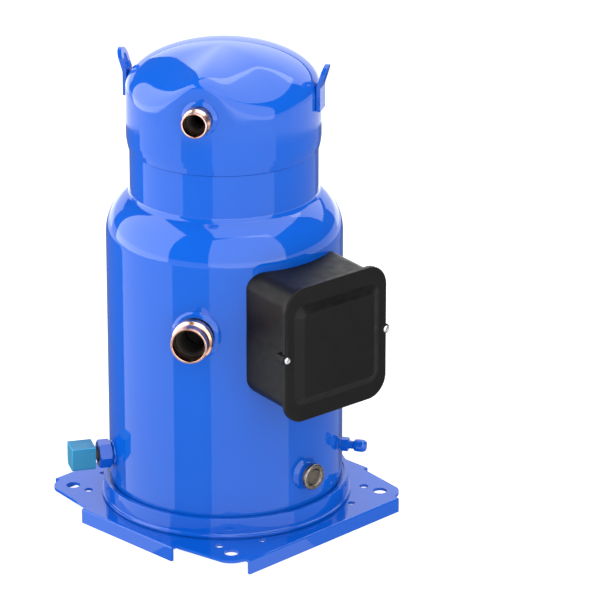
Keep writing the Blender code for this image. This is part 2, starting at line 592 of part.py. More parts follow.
# ---------------------------------------------------------------- crank and motor
def main_frame():
    """Upper bearing housing: bearing hub, thrust face, pocket for the ring, outer rim."""
    outline = [(0.0240, 0.3400), (0.0360, 0.3400), (0.0380, 0.3650), (0.0900, 0.3800)]
    outline += [(0.1110, 0.3950), (0.1125, 0.4200), (0.1125, 0.4400), (0.0955, 0.4400)]
    outline += [(0.0955, 0.4090), (0.0590, 0.4090), (0.0590, 0.4200), (0.0345, 0.4200)]
    outline += [(0.0345, 0.3860), (0.0240, 0.3860)]
    frame = lathe("main_frame", outline, "cast_iron", INNER_STEPS)
    for side in (-1, 1):
        key_slot = [(-0.0125, -0.0047), (0.0125, -0.0047), (0.0125, 0.0047), (-0.0125, 0.0047)]
        place = Matrix.Translation((side * 0.0750, 0, 0))
        combine(frame, add_object(f"frame_key_slot_{side}", extruded(key_slot, 0.4000, 0.42),
                                  None, place))
    for number, turn in enumerate((45, 135, 225, 315), start=1):
        bolt_x, bolt_y = 0.1030 * cos(radians(turn)), 0.1030 * sin(radians(turn))
        place = Matrix.Translation((bolt_x, bolt_y, 0))
        combine(frame, round_cutter(f"frame_thread_{number}", 0.0034, 0.4150, 0.45, place))
        fixed = bpy.data.objects["fixed_scroll"]
        combine(fixed, round_cutter(f"scroll_bolt_hole_{number}", 0.0036, 0.43, 0.50, place))
        combine(fixed, round_cutter(f"scroll_bolt_seat_{number}", 0.0068, 0.4700, 0.50, place))
        bolt = [(0.0, 0.4200), (0.0030, 0.4200), (0.0030, 0.4703), (0.0060, 0.4703)]
        bolt += [(0.0060, 0.4760), (0.0, 0.4760)]
        lathe(f"scroll_bolt_{number}", bolt, "steel", SMALL_STEPS, place)
    lathe("main_bearing", ring(0.0218, 0.0237, 0.3405, 0.3845), "brass", BEARING_STEPS)


def crank():
    shaft = [(0.0, 0.0405), (0.0160, 0.0405), (0.0160, 0.0825), (0.0195, 0.0840)]
    shaft += [(0.0195, 0.3360), (0.0215, 0.3370), (0.0215, 0.3863), (0.0270, 0.3866)]
    shaft += [(0.0270, 0.3915), (0.0, 0.3915)]
    crankshaft = lathe("crankshaft", shaft, "steel", BEARING_STEPS)
    pin_place = Matrix.Translation((ORBIT, 0, 0))
    combine(crankshaft, round_cutter("crank_pin", 0.0165, 0.3900, 0.4110, pin_place, BEARING_STEPS),
            "UNION")
    gallery = Matrix.Translation((0.003, 0, 0))
    combine(crankshaft, round_cutter("oil_gallery", 0.0040, 0.03, 0.42, gallery))
    bearing = ring(0.0168, 0.0197, 0.3930, 0.4105)
    lathe("orbiting_bearing", bearing, "brass", BEARING_STEPS, pin_place)
    lathe("rotor_core", ring(0.0198, 0.0720, 0.1000, 0.2400), "lamination", INNER_STEPS)
    lathe("rotor_end_ring_upper", ring(0.0400, 0.0700, 0.2403, 0.2500), "aluminium", TUBE_STEPS)
    lathe("rotor_end_ring_lower", ring(0.0400, 0.0700, 0.0900, 0.0997), "aluminium", TUBE_STEPS)
    for name, start, low, high in (("counterweight_upper", 95, 0.2503, 0.2720),
                                   ("counterweight_lower", -85, 0.0830, 0.0897)):
        outline = arc((0, 0), 0.0680, start, start + 170, 12)
        outline += arc((0, 0), 0.0420, start + 170, start, 12)
        add_object(name, extruded(outline, low, high), "brass")
    pickup = [(0.0060, 0.0150), (0.0090, 0.0150), (0.0110, 0.0200), (0.0110, 0.0402)]
    pickup += [(0.0080, 0.0402), (0.0080, 0.0210)]
    lathe("oil_pickup", pickup, "steel", SMALL_STEPS)


def motor_and_lower_bearing():
    lathe("stator_core", ring(0.0735, 0.1435, 0.1050, 0.2350), "lamination", INNER_STEPS)
    for name, low, high in (("winding_head_upper", 0.2353, 0.2620),
                            ("winding_head_lower", 0.0790, 0.1047)):
        edge = 0.0060
        outline = [(0.0780 + edge, low), (0.1180 - edge, low), (0.1180, low + edge)]
        outline += [(0.1180, high - edge), (0.1180 - edge, high), (0.0780 + edge, high)]
        outline += [(0.0780, high - edge), (0.0780, low + edge)]
        lathe(name, outline, "winding", TUBE_STEPS)
    bracket = lathe("lower_bearing_bracket", ring(0.0230, 0.1435, 0.0560, 0.0640), "cast_iron",
                    INNER_STEPS)
    combine(bracket, lathe("bracket_hub", ring(0.0230, 0.0300, 0.0480, 0.0780), None), "UNION")
    for number in range(3):
        start = 120 * number + 14
        window = arc((0, 0), 0.1320, start, start + 92, 8)
        window += arc((0, 0), 0.0420, start + 82, start + 10, 4)
        combine(bracket, add_object(f"bracket_window_{number}", extruded(window, 0.05, 0.07),
                                    None))
    lathe("lower_bearing", ring(0.0163, 0.0222, 0.0485, 0.0775), "brass", BEARING_STEPS)
    lathe("thrust_washer", ring(0.0166, 0.0280, 0.0784, 0.0820), "brass", TUBE_STEPS)
    strainer = [(0.0, 0.0063), (0.0200, 0.0063), (0.0240, 0.0090), (0.0240, 0.0300)]
    strainer += [(0.0225, 0.0300), (0.0225, 0.0100), (0.0, 0.0080)]
    lathe("oil_strainer", strainer, "brass", TUBE_STEPS)
    turn = PORT_ANGLE
    outline = arc((0, 0), 0.1330, turn - 24, turn + 24, 8)
    outline += arc((0, 0), 0.1305, turn + 24, turn - 24, 8)
    add_object("suction_baffle", extruded(outline, 0.2450, 0.3080), "steel")


# ---------------------------------------------------------------- build
def build():
    clear_scene()
    base_plate()
    bottom_cap()
    main_shell()
    top_cap()
    for side in LUG_ANGLES:
        lifting_lug(side)
    refrigerant_ports()
    terminal_box()
    terminal_box_cover()
    cover_screws()
    terminals()
    sight_glass()
    injection_valve()
    service_valve()
    scroll_set()
    main_frame()
    crank()
    motor_and_lower_bearing()


build()
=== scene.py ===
"""Looks of the scroll compressor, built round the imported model. Metres, +Z up."""

import json
from math import atan2, cos, degrees, exp, pi, radians, sin, sqrt

import bmesh
import bpy
from mathutils import Matrix, Vector


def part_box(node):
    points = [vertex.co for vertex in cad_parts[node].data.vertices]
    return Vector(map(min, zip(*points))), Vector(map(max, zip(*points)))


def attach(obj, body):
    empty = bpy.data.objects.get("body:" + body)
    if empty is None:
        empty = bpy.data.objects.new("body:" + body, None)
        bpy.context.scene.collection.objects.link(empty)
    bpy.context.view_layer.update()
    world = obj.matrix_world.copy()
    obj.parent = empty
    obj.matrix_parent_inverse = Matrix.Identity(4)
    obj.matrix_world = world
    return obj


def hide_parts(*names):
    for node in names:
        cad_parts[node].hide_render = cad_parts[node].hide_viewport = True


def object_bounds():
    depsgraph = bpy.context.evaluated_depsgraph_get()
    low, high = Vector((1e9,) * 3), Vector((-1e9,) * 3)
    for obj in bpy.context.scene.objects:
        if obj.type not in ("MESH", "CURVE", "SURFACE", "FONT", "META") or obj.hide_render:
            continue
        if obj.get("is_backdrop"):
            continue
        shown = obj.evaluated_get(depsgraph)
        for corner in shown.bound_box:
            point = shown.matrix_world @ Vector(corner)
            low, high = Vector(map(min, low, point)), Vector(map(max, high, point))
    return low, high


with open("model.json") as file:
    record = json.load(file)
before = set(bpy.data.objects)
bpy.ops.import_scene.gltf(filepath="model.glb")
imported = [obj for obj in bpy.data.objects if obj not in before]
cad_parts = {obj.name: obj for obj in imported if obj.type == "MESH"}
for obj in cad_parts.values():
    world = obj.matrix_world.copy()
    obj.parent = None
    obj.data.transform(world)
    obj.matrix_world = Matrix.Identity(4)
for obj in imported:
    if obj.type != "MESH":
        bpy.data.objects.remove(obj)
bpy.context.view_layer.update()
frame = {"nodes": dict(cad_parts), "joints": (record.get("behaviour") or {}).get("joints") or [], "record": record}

ROUND_STEPS = 160            # facets round the shell
TUBE_STEPS = 72
SMALL_STEPS = 40

joints = {joint["name"]: joint for joint in frame["joints"]}
mounts = {mount["name"]: mount for mount in frame["record"]["mounts"]}


# ---------------------------------------------------------------- reading the frame
def angle_of(axis):
    """Direction of a level axis round the shell, in degrees."""
    return degrees(atan2(axis[1], axis[0]))


def outward(angle, height, distance=0.0):
    """Frame whose Z points out of the shell, X along it and Y up."""
    turn = radians(angle)
    out = Vector((cos(turn), sin(turn), 0.0))
    along = Vector((-sin(turn), cos(turn), 0.0))
    place = Matrix.Identity(4)
    for row in range(3):
        place[row][0] = along[row]
        place[row][1] = (0.0, 0.0, 1.0)[row]
        place[row][2] = out[row]
    place.translation = out * distance + Vector((0, 0, height))
    return place


def measured(node, place=Matrix.Identity(4)):
    """Lowest height, highest height and largest radius of a CAD node in a frame."""
    back = place.inverted()
    points = [back @ corner.co for corner in frame["nodes"][node].data.vertices]
    heights = [point.z for point in points]
    radius = max(sqrt(point.x ** 2 + point.y ** 2) for point in points)
    return min(heights), max(heights), radius


def middle_height(node):
    """Height halfway up a CAD node."""
    low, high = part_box(node)
    return (low.z + high.z) / 2


PORT_ANGLE = angle_of(mounts["suction_port_face"]["axis"])
BOX_ANGLE = angle_of(joints["cover_lift_off"]["axis"])
INJECTION_ANGLE = angle_of(joints["coil_pull_off"]["axis"])
SERVICE_ANGLE = angle_of(joints["service_cap_pull_off"]["axis"])
SIGHT_CENTRE = sum(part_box("sight_glass_lens"), Vector()) / 2
SIGHT_ANGLE = angle_of(SIGHT_CENTRE)

BODY_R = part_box("main_shell")[1].x
CAP_R = measured("top_cap")[2]
SKIRT_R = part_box("bottom_cap")[1].x
SKIRT_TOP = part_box("bottom_cap")[1].z
PLATE_TOP = 0.0038
NECK_R = BODY_R - 0.0310
CAP_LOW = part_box("top_cap")[0].z
KNUCKLE_Z, APEX_Z = 0.5505, 0.6055
SHOULDER_LOW, SHOULDER_HIGH = 0.3600, 0.4180
SUCTION_BORE, DISCHARGE_BORE, SERVICE_BORE = 0.0207, 0.0143, 0.0021

SUCTION = outward(PORT_ANGLE, middle_height("suction_tube"))
DISCHARGE = outward(PORT_ANGLE, middle_height("discharge_tube"))
BOX = outward(BOX_ANGLE, middle_height("terminal_box_cover"))
SIGHT = outward(SIGHT_ANGLE, middle_height("sight_glass_lens"))
INJECTION = outward(INJECTION_ANGLE, middle_height("injection_valve_tube"))
SERVICE = outward(SERVICE_ANGLE, middle_height("service_valve_cap"))


# ---------------------------------------------------------------- shape helpers
def arc(centre, radius, start, end, steps):
    """Points on an arc, angles in degrees."""
    angles = [radians(start + (end - start) * k / steps) for k in range(steps + 1)]
    return [(centre[0] + radius * cos(a), centre[1] + radius * sin(a)) for a in angles]


def filleted(outline, steps=5):
    """Round the corners of an open or closed (x, y, radius) outline."""
    points = []
    count = len(outline)
    for k in range(count):
        x, y, radius = outline[k]
        here = Vector((x, y))
        before = Vector(outline[k - 1][:2]) - here
        after = Vector(outline[(k + 1) % count][:2]) - here
        if radius <= 0 or before.length < 1e-9 or after.length < 1e-9:
            points.append((x, y))
            continue
        before_unit, after_unit = before.normalized(), after.normalized()
        half = before_unit.angle(after_unit) / 2
        if abs(sin(half)) < 1e-4 or abs(cos(half)) < 1e-4:
            points.append((x, y))
            continue
        cut = min(radius * cos(half) / sin(half), 0.48 * before.length, 0.48 * after.length)
        radius = cut * sin(half) / cos(half)
        start, end = here + before_unit * cut, here + after_unit * cut
        centre = here + (before_unit + after_unit).normalized() * radius / sin(half)
        first = start - centre
        last = end - centre
        for step in range(steps + 1):
            share = step / steps
            sweep = first.angle(last)
            if sweep < 1e-6:
                spoke = first
            else:
                spoke = (first * sin((1 - share) * sweep) + last * sin(share * sweep)) / sin(sweep)
            points.append((centre.x + spoke.x, centre.y + spoke.y))
    return points


def finish_mesh(name, work, place=None, sharp=30):
    """Clean a bmesh and link it as a smooth-shaded object."""
    bmesh.ops.remove_doubles(work, verts=work.verts, dist=1e-6)
    bmesh.ops.recalc_face_normals(work, faces=work.faces)
    mesh = bpy.data.meshes.new(name)
    work.to_mesh(mesh)
    work.free()
    mesh.shade_smooth()
    mesh.set_sharp_from_angle(angle=radians(sharp))
    thing = bpy.data.objects.new(name, mesh)
    bpy.context.scene.collection.objects.link(thing)
    if place is not None:
        thing.matrix_world = place
    return thing


def turned(outline, steps):
    """Closed (radius, height) outline spun once round local Z."""
    work = bmesh.new()
    rings = []
    for radius, height in outline:
        if radius < 1e-7:
            rings.append([work.verts.new((0, 0, height))])
        else:
            spokes = [2 * pi * k / steps for k in range(steps)]
            rings.append([work.verts.new((radius * cos(a), radius * sin(a), height))
                          for a in spokes])
    for here, there in zip(rings, rings[1:] + rings[:1]):
        if len(here) == 1 and len(there) == 1:
            continue
        for k in range(steps):
            corners = [here[k % len(here)], here[(k + 1) % steps % len(here)],
                       there[(k + 1) % steps % len(there)], there[k % len(there)]]
            unique = list(dict.fromkeys(corners))
            work.faces.new(unique)
    return work


def lathe(name, outline, steps=TUBE_STEPS, place=None, fillet_steps=5, sharp=30):
    """Piece turned from a filleted (radius, height, fillet) outline."""
    return finish_mesh(name, turned(filleted(outline, fillet_steps), steps), place, sharp)


def extruded(outline, low, high):
    """Solid prism over an outline, not yet an object."""
    work = bmesh.new()
    face = work.faces.new([work.verts.new((x, y, low)) for x, y in outline])
    lifted = bmesh.ops.extrude_face_region(work, geom=[face])
    moved = [part for part in lifted["geom"] if isinstance(part, bmesh.types.BMVert)]
    bmesh.ops.translate(work, verts=moved, vec=(0, 0, high - low))
    return work


def rounded_rectangle(half_w, half_h, corner, steps=12):
    """Counter-clockwise outline from the right side."""
    points = []
    for sx, sy, start in ((1, 1, 0), (-1, 1, 90), (-1, -1, 180), (1, -1, 270)):
        centre = (sx * (half_w - corner), sy * (half_h - corner))
        points += arc(centre, corner, start, start + 90, steps)
    return points


def lofted(levels, steps=12):
    """Solid through rounded rectangles (half width, half height, corner, depth)."""
    work = bmesh.new()
    rings = []
    for half_w, half_h, corner, depth in levels:
        outline = rounded_rectangle(half_w, half_h, corner, steps)
        rings.append([work.verts.new((x, y, depth)) for x, y in outline])
    for here, there in zip(rings, rings[1:]):
        for k in range(len(here)):
            following = (k + 1) % len(here)
            work.faces.new((here[k], here[following], there[following], there[k]))
    work.faces.new(rings[0][::-1])
    work.faces.new(rings[-1])
    return work


def combine(thing, tool, operation="DIFFERENCE"):
    """Boolean with a helper object, which is then removed."""
    step = thing.modifiers.new("join", "BOOLEAN")
    step.operation = operation
    step.solver = "EXACT"
    step.object = tool
    apply_modifiers(thing)
    bpy.data.objects.remove(tool, do_unlink=True)


def apply_modifiers(thing):
    """Turn the modifiers of a piece into its mesh."""
    bpy.context.view_layer.update()
    depsgraph = bpy.context.evaluated_depsgraph_get()
    mesh = bpy.data.meshes.new_from_object(thing.evaluated_get(depsgraph))
    thing.modifiers.clear()
    thing.data = mesh


def smooth(thing, sharp):
    """Smooth shading that large faces dominate, so flats stay flat beside a bevel."""
    thing.data.shade_smooth()
    thing.data.set_sharp_from_angle(angle=radians(sharp))
    weighted = thing.modifiers.new("flat", "WEIGHTED_NORMAL")
    weighted.keep_sharp = True
    apply_modifiers(thing)


def soften(thing, width, segments=2, angle=35):
    """Bevel the sharp edges and keep the flats flat."""
    bevel = thing.modifiers.new("edges", "BEVEL")
    bevel.width = width
    bevel.segments = segments
    bevel.limit_method = "ANGLE"
    bevel.angle_limit = radians(angle)
    apply_modifiers(thing)
    smooth(thing, 40)


def round_tool(radius, low, high, place=None, steps=SMALL_STEPS):
    """Plain cylinder for a boolean."""
    outline = [(0, low), (radius, low), (radius, high), (0, high)]
    return finish_mesh("tool", turned(outline, steps), place)


def show(piece, body, slot, material, *replaced):
    """Give a piece its material and body, and hide the CAD nodes it stands for; slot is not used."""
    piece.data.materials.clear()
    piece.data.materials.append(material)
    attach(piece, body)
    if replaced:
        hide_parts(*replaced)
    return piece


# ---------------------------------------------------------------- materials
def blank_material(name):
    """New node material with its tree and Principled shader."""
    material = bpy.data.materials.new(name)
    material.use_nodes = True
    tree = material.node_tree
    return material, tree, tree.nodes["Principled BSDF"]


def noise(tree, scale, detail=3.0, stretch=(1, 1, 1)):
    """Noise in object space, optionally stretched along an axis."""
    where = tree.nodes.new("ShaderNodeTexCoord")
    mapping = tree.nodes.new("ShaderNodeMapping")
    mapping.inputs["Scale"].default_value = stretch
    pattern = tree.nodes.new("ShaderNodeTexNoise")
    pattern.inputs["Scale"].default_value = scale
    pattern.inputs["Detail"].default_value = detail
    tree.links.new(where.outputs["Object"], mapping.inputs["Vector"])
    tree.links.new(mapping.outputs["Vector"], pattern.inputs["Vector"])
    return pattern.outputs["Fac"]


def ramp(tree, value, low, high, low_at=0.35, high_at=0.65):
    """Blend between two colours, or two numbers, as a value rises."""
    band = tree.nodes.new("ShaderNodeValToRGB")
    band.color_ramp.elements[0].position = low_at
    band.color_ramp.elements[1].position = high_at
    band.color_ramp.elements[0].color = low if len(low) == 4 else (*low, 1)
    band.color_ramp.elements[1].color = high if len(high) == 4 else (*high, 1)
    tree.links.new(value, band.inputs["Fac"])
    return band.outputs["Color"]


def grey(value):
    """The same value in all three channels."""
    return (value, value, value)


def bumped(tree, shader, heights):
    """Chain bump nodes for (height socket, strength, distance) entries."""
    normal = None
    for height, strength, distance in heights:
        bump = tree.nodes.new("ShaderNodeBump")
        bump.inputs["Strength"].default_value = strength
        bump.inputs["Distance"].default_value = distance
        tree.links.new(height, bump.inputs["Height"])
        if normal is not None:
            tree.links.new(normal, bump.inputs["Normal"])
        normal = bump.outputs["Normal"]
    tree.links.new(normal, shader.inputs["Normal"])


def painted_highlight_mask(tree, low=0.52, high=0.62):
    """Mask for a painted highlight on convex edges, from the surface's pointiness."""
    geometry = tree.nodes.new("ShaderNodeNewGeometry")
    return ramp(tree, geometry.outputs["Pointiness"], grey(0), grey(1), low, high)


def mix_colour(tree, share, first, second):
    """Blend two colours or colour sockets by a share socket."""
    mix = tree.nodes.new("ShaderNodeMix")
    mix.data_type = "RGBA"
    tree.links.new(share, mix.inputs["Factor"])
    for socket, colour in ((mix.inputs["A"], first), (mix.inputs["B"], second)):
        if isinstance(colour, tuple):
            socket.default_value = (*colour, 1)
        else:
            tree.links.new(colour, socket)
    return mix.outputs["Result"]


def enamel_paint():
    """Glossy blue enamel, faintly uneven, with fine orange peel and a painted highlight on its convex edges."""
    material, tree, shader = blank_material("blue_enamel")
    drift = noise(tree, 5.0, 2.0)
    colour = ramp(tree, drift, (0.0018, 0.0800, 0.4650), (0.0026, 0.0870, 0.4950), 0.3, 0.7)
    # painted highlight: convex edges turn a lighter blue
    edge_highlight_paint = mix_colour(tree, painted_highlight_mask(tree, 0.58, 0.78), colour, (0.010, 0.125, 0.560))
    tree.links.new(edge_highlight_paint, shader.inputs["Base Color"])
    tree.links.new(ramp(tree, noise(tree, 60.0), grey(0.035), grey(0.060)),
                   shader.inputs["Roughness"])
    shader.inputs["IOR"].default_value = 1.5
    bumped(tree, shader, [(noise(tree, 420.0, 2.0), 0.030, 0.0004),
                          (noise(tree, 26.0, 1.0), 0.015, 0.0010)])
    return material


def copper_metal():
    """Bright drawn copper with draw lines and a little tarnish."""
    material, tree, shader = blank_material("drawn_copper")
    tarnish = noise(tree, 55.0, 4.0)
    colour = ramp(tree, tarnish, (0.78, 0.42, 0.30), (0.92, 0.63, 0.51), 0.3, 0.7)
    tree.links.new(colour, shader.inputs["Base Color"])
    tree.links.new(ramp(tree, noise(tree, 160.0), grey(0.13), grey(0.27)),
                   shader.inputs["Roughness"])
    shader.inputs["Metallic"].default_value = 1.0
    bumped(tree, shader, [(noise(tree, 700.0, 2.0, (1, 1, 6)), 0.08, 0.0002)])
    return material


def moulded_plastic(name, colour, lighter, low=0.34, high=0.46, grain=1300.0):
    """Moulded plastic with a fine spark-eroded grain and a painted highlight on its convex edges."""
    material, tree, shader = blank_material(name)
    base = ramp(tree, noise(tree, 14.0), colour, lighter)
    # painted highlight: convex edges lighter than the body colour
    edge_highlight_tint = tuple(min(1.0, part * 2.2 + 0.006) for part in lighter)
    tree.links.new(mix_colour(tree, painted_highlight_mask(tree, 0.54, 0.70), base, edge_highlight_tint),
                   shader.inputs["Base Color"])
    tree.links.new(ramp(tree, noise(tree, 90.0), grey(low), grey(high)),
                   shader.inputs["Roughness"])
    shader.inputs["Specular IOR Level"].default_value = 0.17
    bumped(tree, shader, [(noise(tree, grain, 2.0), 0.10, 0.0002)])
    return material


def metal(name, dark, light, rough_low, rough_high, scale=220.0, stretch=(1, 1, 1),
          strength=0.12, metallic=1.0):
    """Metal whose tool marks or casting skin come from stretched noise."""
    material, tree, shader = blank_material(name)
    marks = noise(tree, scale, 4.0, stretch)
    tree.links.new(ramp(tree, marks, dark, light), shader.inputs["Base Color"])
    tree.links.new(ramp(tree, noise(tree, scale * 0.4), grey(rough_low), grey(rough_high)),
                   shader.inputs["Roughness"])
    shader.inputs["Metallic"].default_value = metallic
    bumped(tree, shader, [(marks, strength, 0.0004)])
    return material


def layered_steel():
    """Stacked laminations: thin dark lines one above the other."""
    material, tree, shader = blank_material("laminations")
    where = tree.nodes.new("ShaderNodeTexCoord")
    waves = tree.nodes.new("ShaderNodeTexWave")
    waves.bands_direction = "Z"
    waves.inputs["Scale"].default_value = 320.0
    waves.inputs["Distortion"].default_value = 0.4
    tree.links.new(where.outputs["Object"], waves.inputs["Vector"])
    tree.links.new(ramp(tree, waves.outputs["Fac"], (0.16, 0.17, 0.19), (0.42, 0.43, 0.45)),
                   shader.inputs["Base Color"])
    tree.links.new(ramp(tree, noise(tree, 120.0), grey(0.35), grey(0.55)),
                   shader.inputs["Roughness"])
    shader.inputs["Metallic"].default_value = 0.9
    bumped(tree, shader, [(waves.outputs["Fac"], 0.4, 0.0003)])
    return material


def copper_winding():
    """Lacquered wire laid round the motor, as many thin rings."""
    material, tree, shader = blank_material("enamelled_winding")
    where = tree.nodes.new("ShaderNodeTexCoord")
    waves = tree.nodes.new("ShaderNodeTexWave")
    waves.wave_type = "RINGS"
    waves.rings_direction = "Z"
    waves.inputs["Scale"].default_value = 190.0
    waves.inputs["Distortion"].default_value = 2.5
    waves.inputs["Detail Scale"].default_value = 4.0
    tree.links.new(where.outputs["Object"], waves.inputs["Vector"])
    tree.links.new(ramp(tree, waves.outputs["Fac"], (0.30, 0.09, 0.03), (0.80, 0.36, 0.16)),
                   shader.inputs["Base Color"])
    tree.links.new(ramp(tree, noise(tree, 200.0), grey(0.22), grey(0.40)),
                   shader.inputs["Roughness"])
    shader.inputs["Metallic"].default_value = 0.7
    bumped(tree, shader, [(waves.outputs["Fac"], 0.6, 0.0006)])
    return material


def sight_glass():
    """Glass of the oil sight port, dark from the oil behind it."""
    material, tree, shader = blank_material("smoked_glass")
    tree.links.new(ramp(tree, noise(tree, 40.0), (0.10, 0.085, 0.070), (0.17, 0.145, 0.125)),
                   shader.inputs["Base Color"])
    tree.links.new(ramp(tree, noise(tree, 90.0), grey(0.02), grey(0.06)),
                   shader.inputs["Roughness"])
    shader.inputs["Transmission Weight"].default_value = 0.45
    shader.inputs["IOR"].default_value = 1.5
    bumped(tree, shader, [(noise(tree, 60.0), 0.02, 0.0005)])
    return material


def ceramic():
    """Glazed pale block that holds the terminal pins."""
    material, tree, shader = blank_material("glazed_block")
    tree.links.new(ramp(tree, noise(tree, 60.0), (0.70, 0.69, 0.64), (0.82, 0.81, 0.77)),
                   shader.inputs["Base Color"])
    tree.links.new(ramp(tree, noise(tree, 120.0), grey(0.2), grey(0.35)),
                   shader.inputs["Roughness"])
    bumped(tree, shader, [(noise(tree, 300.0), 0.05, 0.0003)])
    return material


blue = enamel_paint()
copper = copper_metal()
black = moulded_plastic("black_moulding", (0.0028, 0.0028, 0.0030), (0.0042, 0.0042, 0.0044))
coil_blue = moulded_plastic("coil_moulding", (0.015, 0.160, 0.300), (0.022, 0.190, 0.340),
                            0.40, 0.55, 900.0)
# Near-black painted shade for the suction bore: its throat lining and the baffle behind it.
bore_shade = metal("bore_painted_shade", (0.002, 0.002, 0.002), (0.006, 0.005, 0.004), 0.80, 0.95, 180.0,
              (1, 1, 1), 0.1, 0.0)
aged_steel = metal("aged_steel", (0.15, 0.13, 0.11), (0.36, 0.32, 0.28), 0.24, 0.40, 260.0, (1, 1, 8))
# Dark metal: painted shade on the injection gland and valve tube; also the dark disc behind the sight window.
dark_metal = metal("dark_metal_finish", (0.050, 0.042, 0.036), (0.110, 0.095, 0.080), 0.45, 0.60, 300.0,
               (1, 1, 1), 0.1, 0.3)
steel = metal("bright_steel", (0.50, 0.50, 0.51), (0.72, 0.72, 0.73), 0.16, 0.34)
turned_steel = metal("turned_steel", (0.42, 0.42, 0.43), (0.66, 0.66, 0.67), 0.22, 0.40, 260.0,
                     (1, 1, 8))
cast_iron = metal("machined_cast_iron", (0.13, 0.13, 0.14), (0.28, 0.28, 0.29), 0.40, 0.62, 420.0,
                  (1, 1, 1), 0.35, 0.85)
alloy = metal("machined_alloy", (0.62, 0.63, 0.65), (0.80, 0.81, 0.82), 0.25, 0.42, 180.0,
              (1, 1, 6))
bronze = metal("bearing_bronze", (0.55, 0.36, 0.16), (0.78, 0.56, 0.28), 0.24, 0.42, 180.0,
               (1, 1, 6))
lamination = layered_steel()
winding = copper_winding()
glass = sight_glass()
block = ceramic()

SLOT_MATERIALS = {
    "shell_paint": blue, "copper": copper, "box_plastic": black, "steel": turned_steel,
    "block_ceramic": block, "bronze": bronze, "sight_glass": glass, "coil_plastic": coil_blue,
    "cast_iron": cast_iron, "light_alloy": alloy, "lamination": lamination, "winding": winding,
}


def dress_cad_nodes():
    """Every CAD node gets its slot's full material; the baffle inside the suction bore is painted near-black as
    shade.
    """
    for entry in frame["record"]["subparts"]:
        node = frame["nodes"][entry["node"]]
        node.data.materials.clear()
        node.data.materials.append(SLOT_MATERIALS[entry["material_slot"]])
        node.data.shade_smooth()
        node.data.set_sharp_from_angle(angle=radians(35))
    # painted shade: baffle made near-black so the bore reads dark
    baffle = frame["nodes"]["suction_baffle"]
    baffle.data.materials[0] = bore_shade


# ---------------------------------------------------------------- shell
def shoulder(body, neck, low, high, steps):
    """Two tangent arcs from the body radius in to the neck radius, from low to high."""
    half = atan2(body - neck, high - low)
    total = (high - low) / sin(2 * half)
    tight = 0.12 * total
    wide = total - tight
    sweep = degrees(2 * half)
    convex = arc((body - wide, low), wide, 0, sweep, steps)
    concave = arc((neck + tight, high), tight, 180 + sweep, 180, steps // 2)
    return convex + concave[1:]


def plain(points):
    """Outline points that are not filleted."""
    return [(x, y, 0.0) for x, y in points]


def main_shell():
    """Shell body, shoulder and neck as one skin, bored for suction and service."""
    wall = 0.0045
    low = SKIRT_TOP - 0.012
    high = CAP_LOW + 0.012
    outer = [(BODY_R, low)] + shoulder(BODY_R, NECK_R, SHOULDER_LOW, SHOULDER_HIGH, 24)
    outer += [(NECK_R, CAP_LOW - 0.0005), (NECK_R - 0.0020, CAP_LOW), (NECK_R - 0.0020, high)]
    inner = [(BODY_R - wall, low)]
    inner += shoulder(BODY_R - wall, NECK_R - wall, SHOULDER_LOW, SHOULDER_HIGH + 0.001, 12)
    inner += [(NECK_R - wall, high)]
    shell = lathe("shell_skin", plain(outer + inner[::-1]), ROUND_STEPS)
    combine(shell, round_tool(SUCTION_BORE - 0.0010, 0.120, 0.180, SUCTION))
    combine(shell, round_tool(SERVICE_BORE, 0.130, 0.160, SERVICE))
    smooth(shell, 30)
    show(shell, "casing", "shell_paint", blue, "main_shell")


def skirt():
    """Sump skirt: flat top ring with a groove against the shell, rim at the foot."""
    inner = BODY_R + 0.0002
    rim = SKIRT_R + 0.0024
    outline = [(0.0, 0.0004, 0), (0.0930, 0.0004, 0.002), (0.0965, PLATE_TOP + 0.0002, 0.0005)]
    outline += [(rim - 0.0016, PLATE_TOP + 0.0002, 0), (rim - 0.0016, PLATE_TOP + 0.0010, 0)]
    outline += [(rim, PLATE_TOP + 0.0012, 0.0004), (rim, PLATE_TOP + 0.0042, 0.0010)]
    outline += [(SKIRT_R, PLATE_TOP + 0.0056, 0.0030), (SKIRT_R, SKIRT_TOP, 0.0007)]
    outline += [(BODY_R + 0.0024, SKIRT_TOP, 0.0005), (BODY_R + 0.0022, SKIRT_TOP - 0.0030, 0)]
    outline += [(inner, SKIRT_TOP - 0.0030, 0), (inner, 0.0120, 0), (0.1400, 0.0100, 0.004)]
    outline += [(0.0900, 0.0060, 0.004), (0, 0.0060, 0)]
    cap = lathe("sump_skirt", outline, ROUND_STEPS, fillet_steps=6)
    show(cap, "casing", "shell_paint", blue, "bottom_cap")


def scallop(angle):
    """Height of the dome's edge above its mean: a crest over the port, a dip each side."""
    away = (angle - PORT_ANGLE + 180) % 360 - 180
    crest = 0.0360 * exp(-(away / 18.5) ** 2)
    dips = 0.0085 * exp(-((abs(away) - 42.0) / 17.0) ** 2)
    return crest - dips


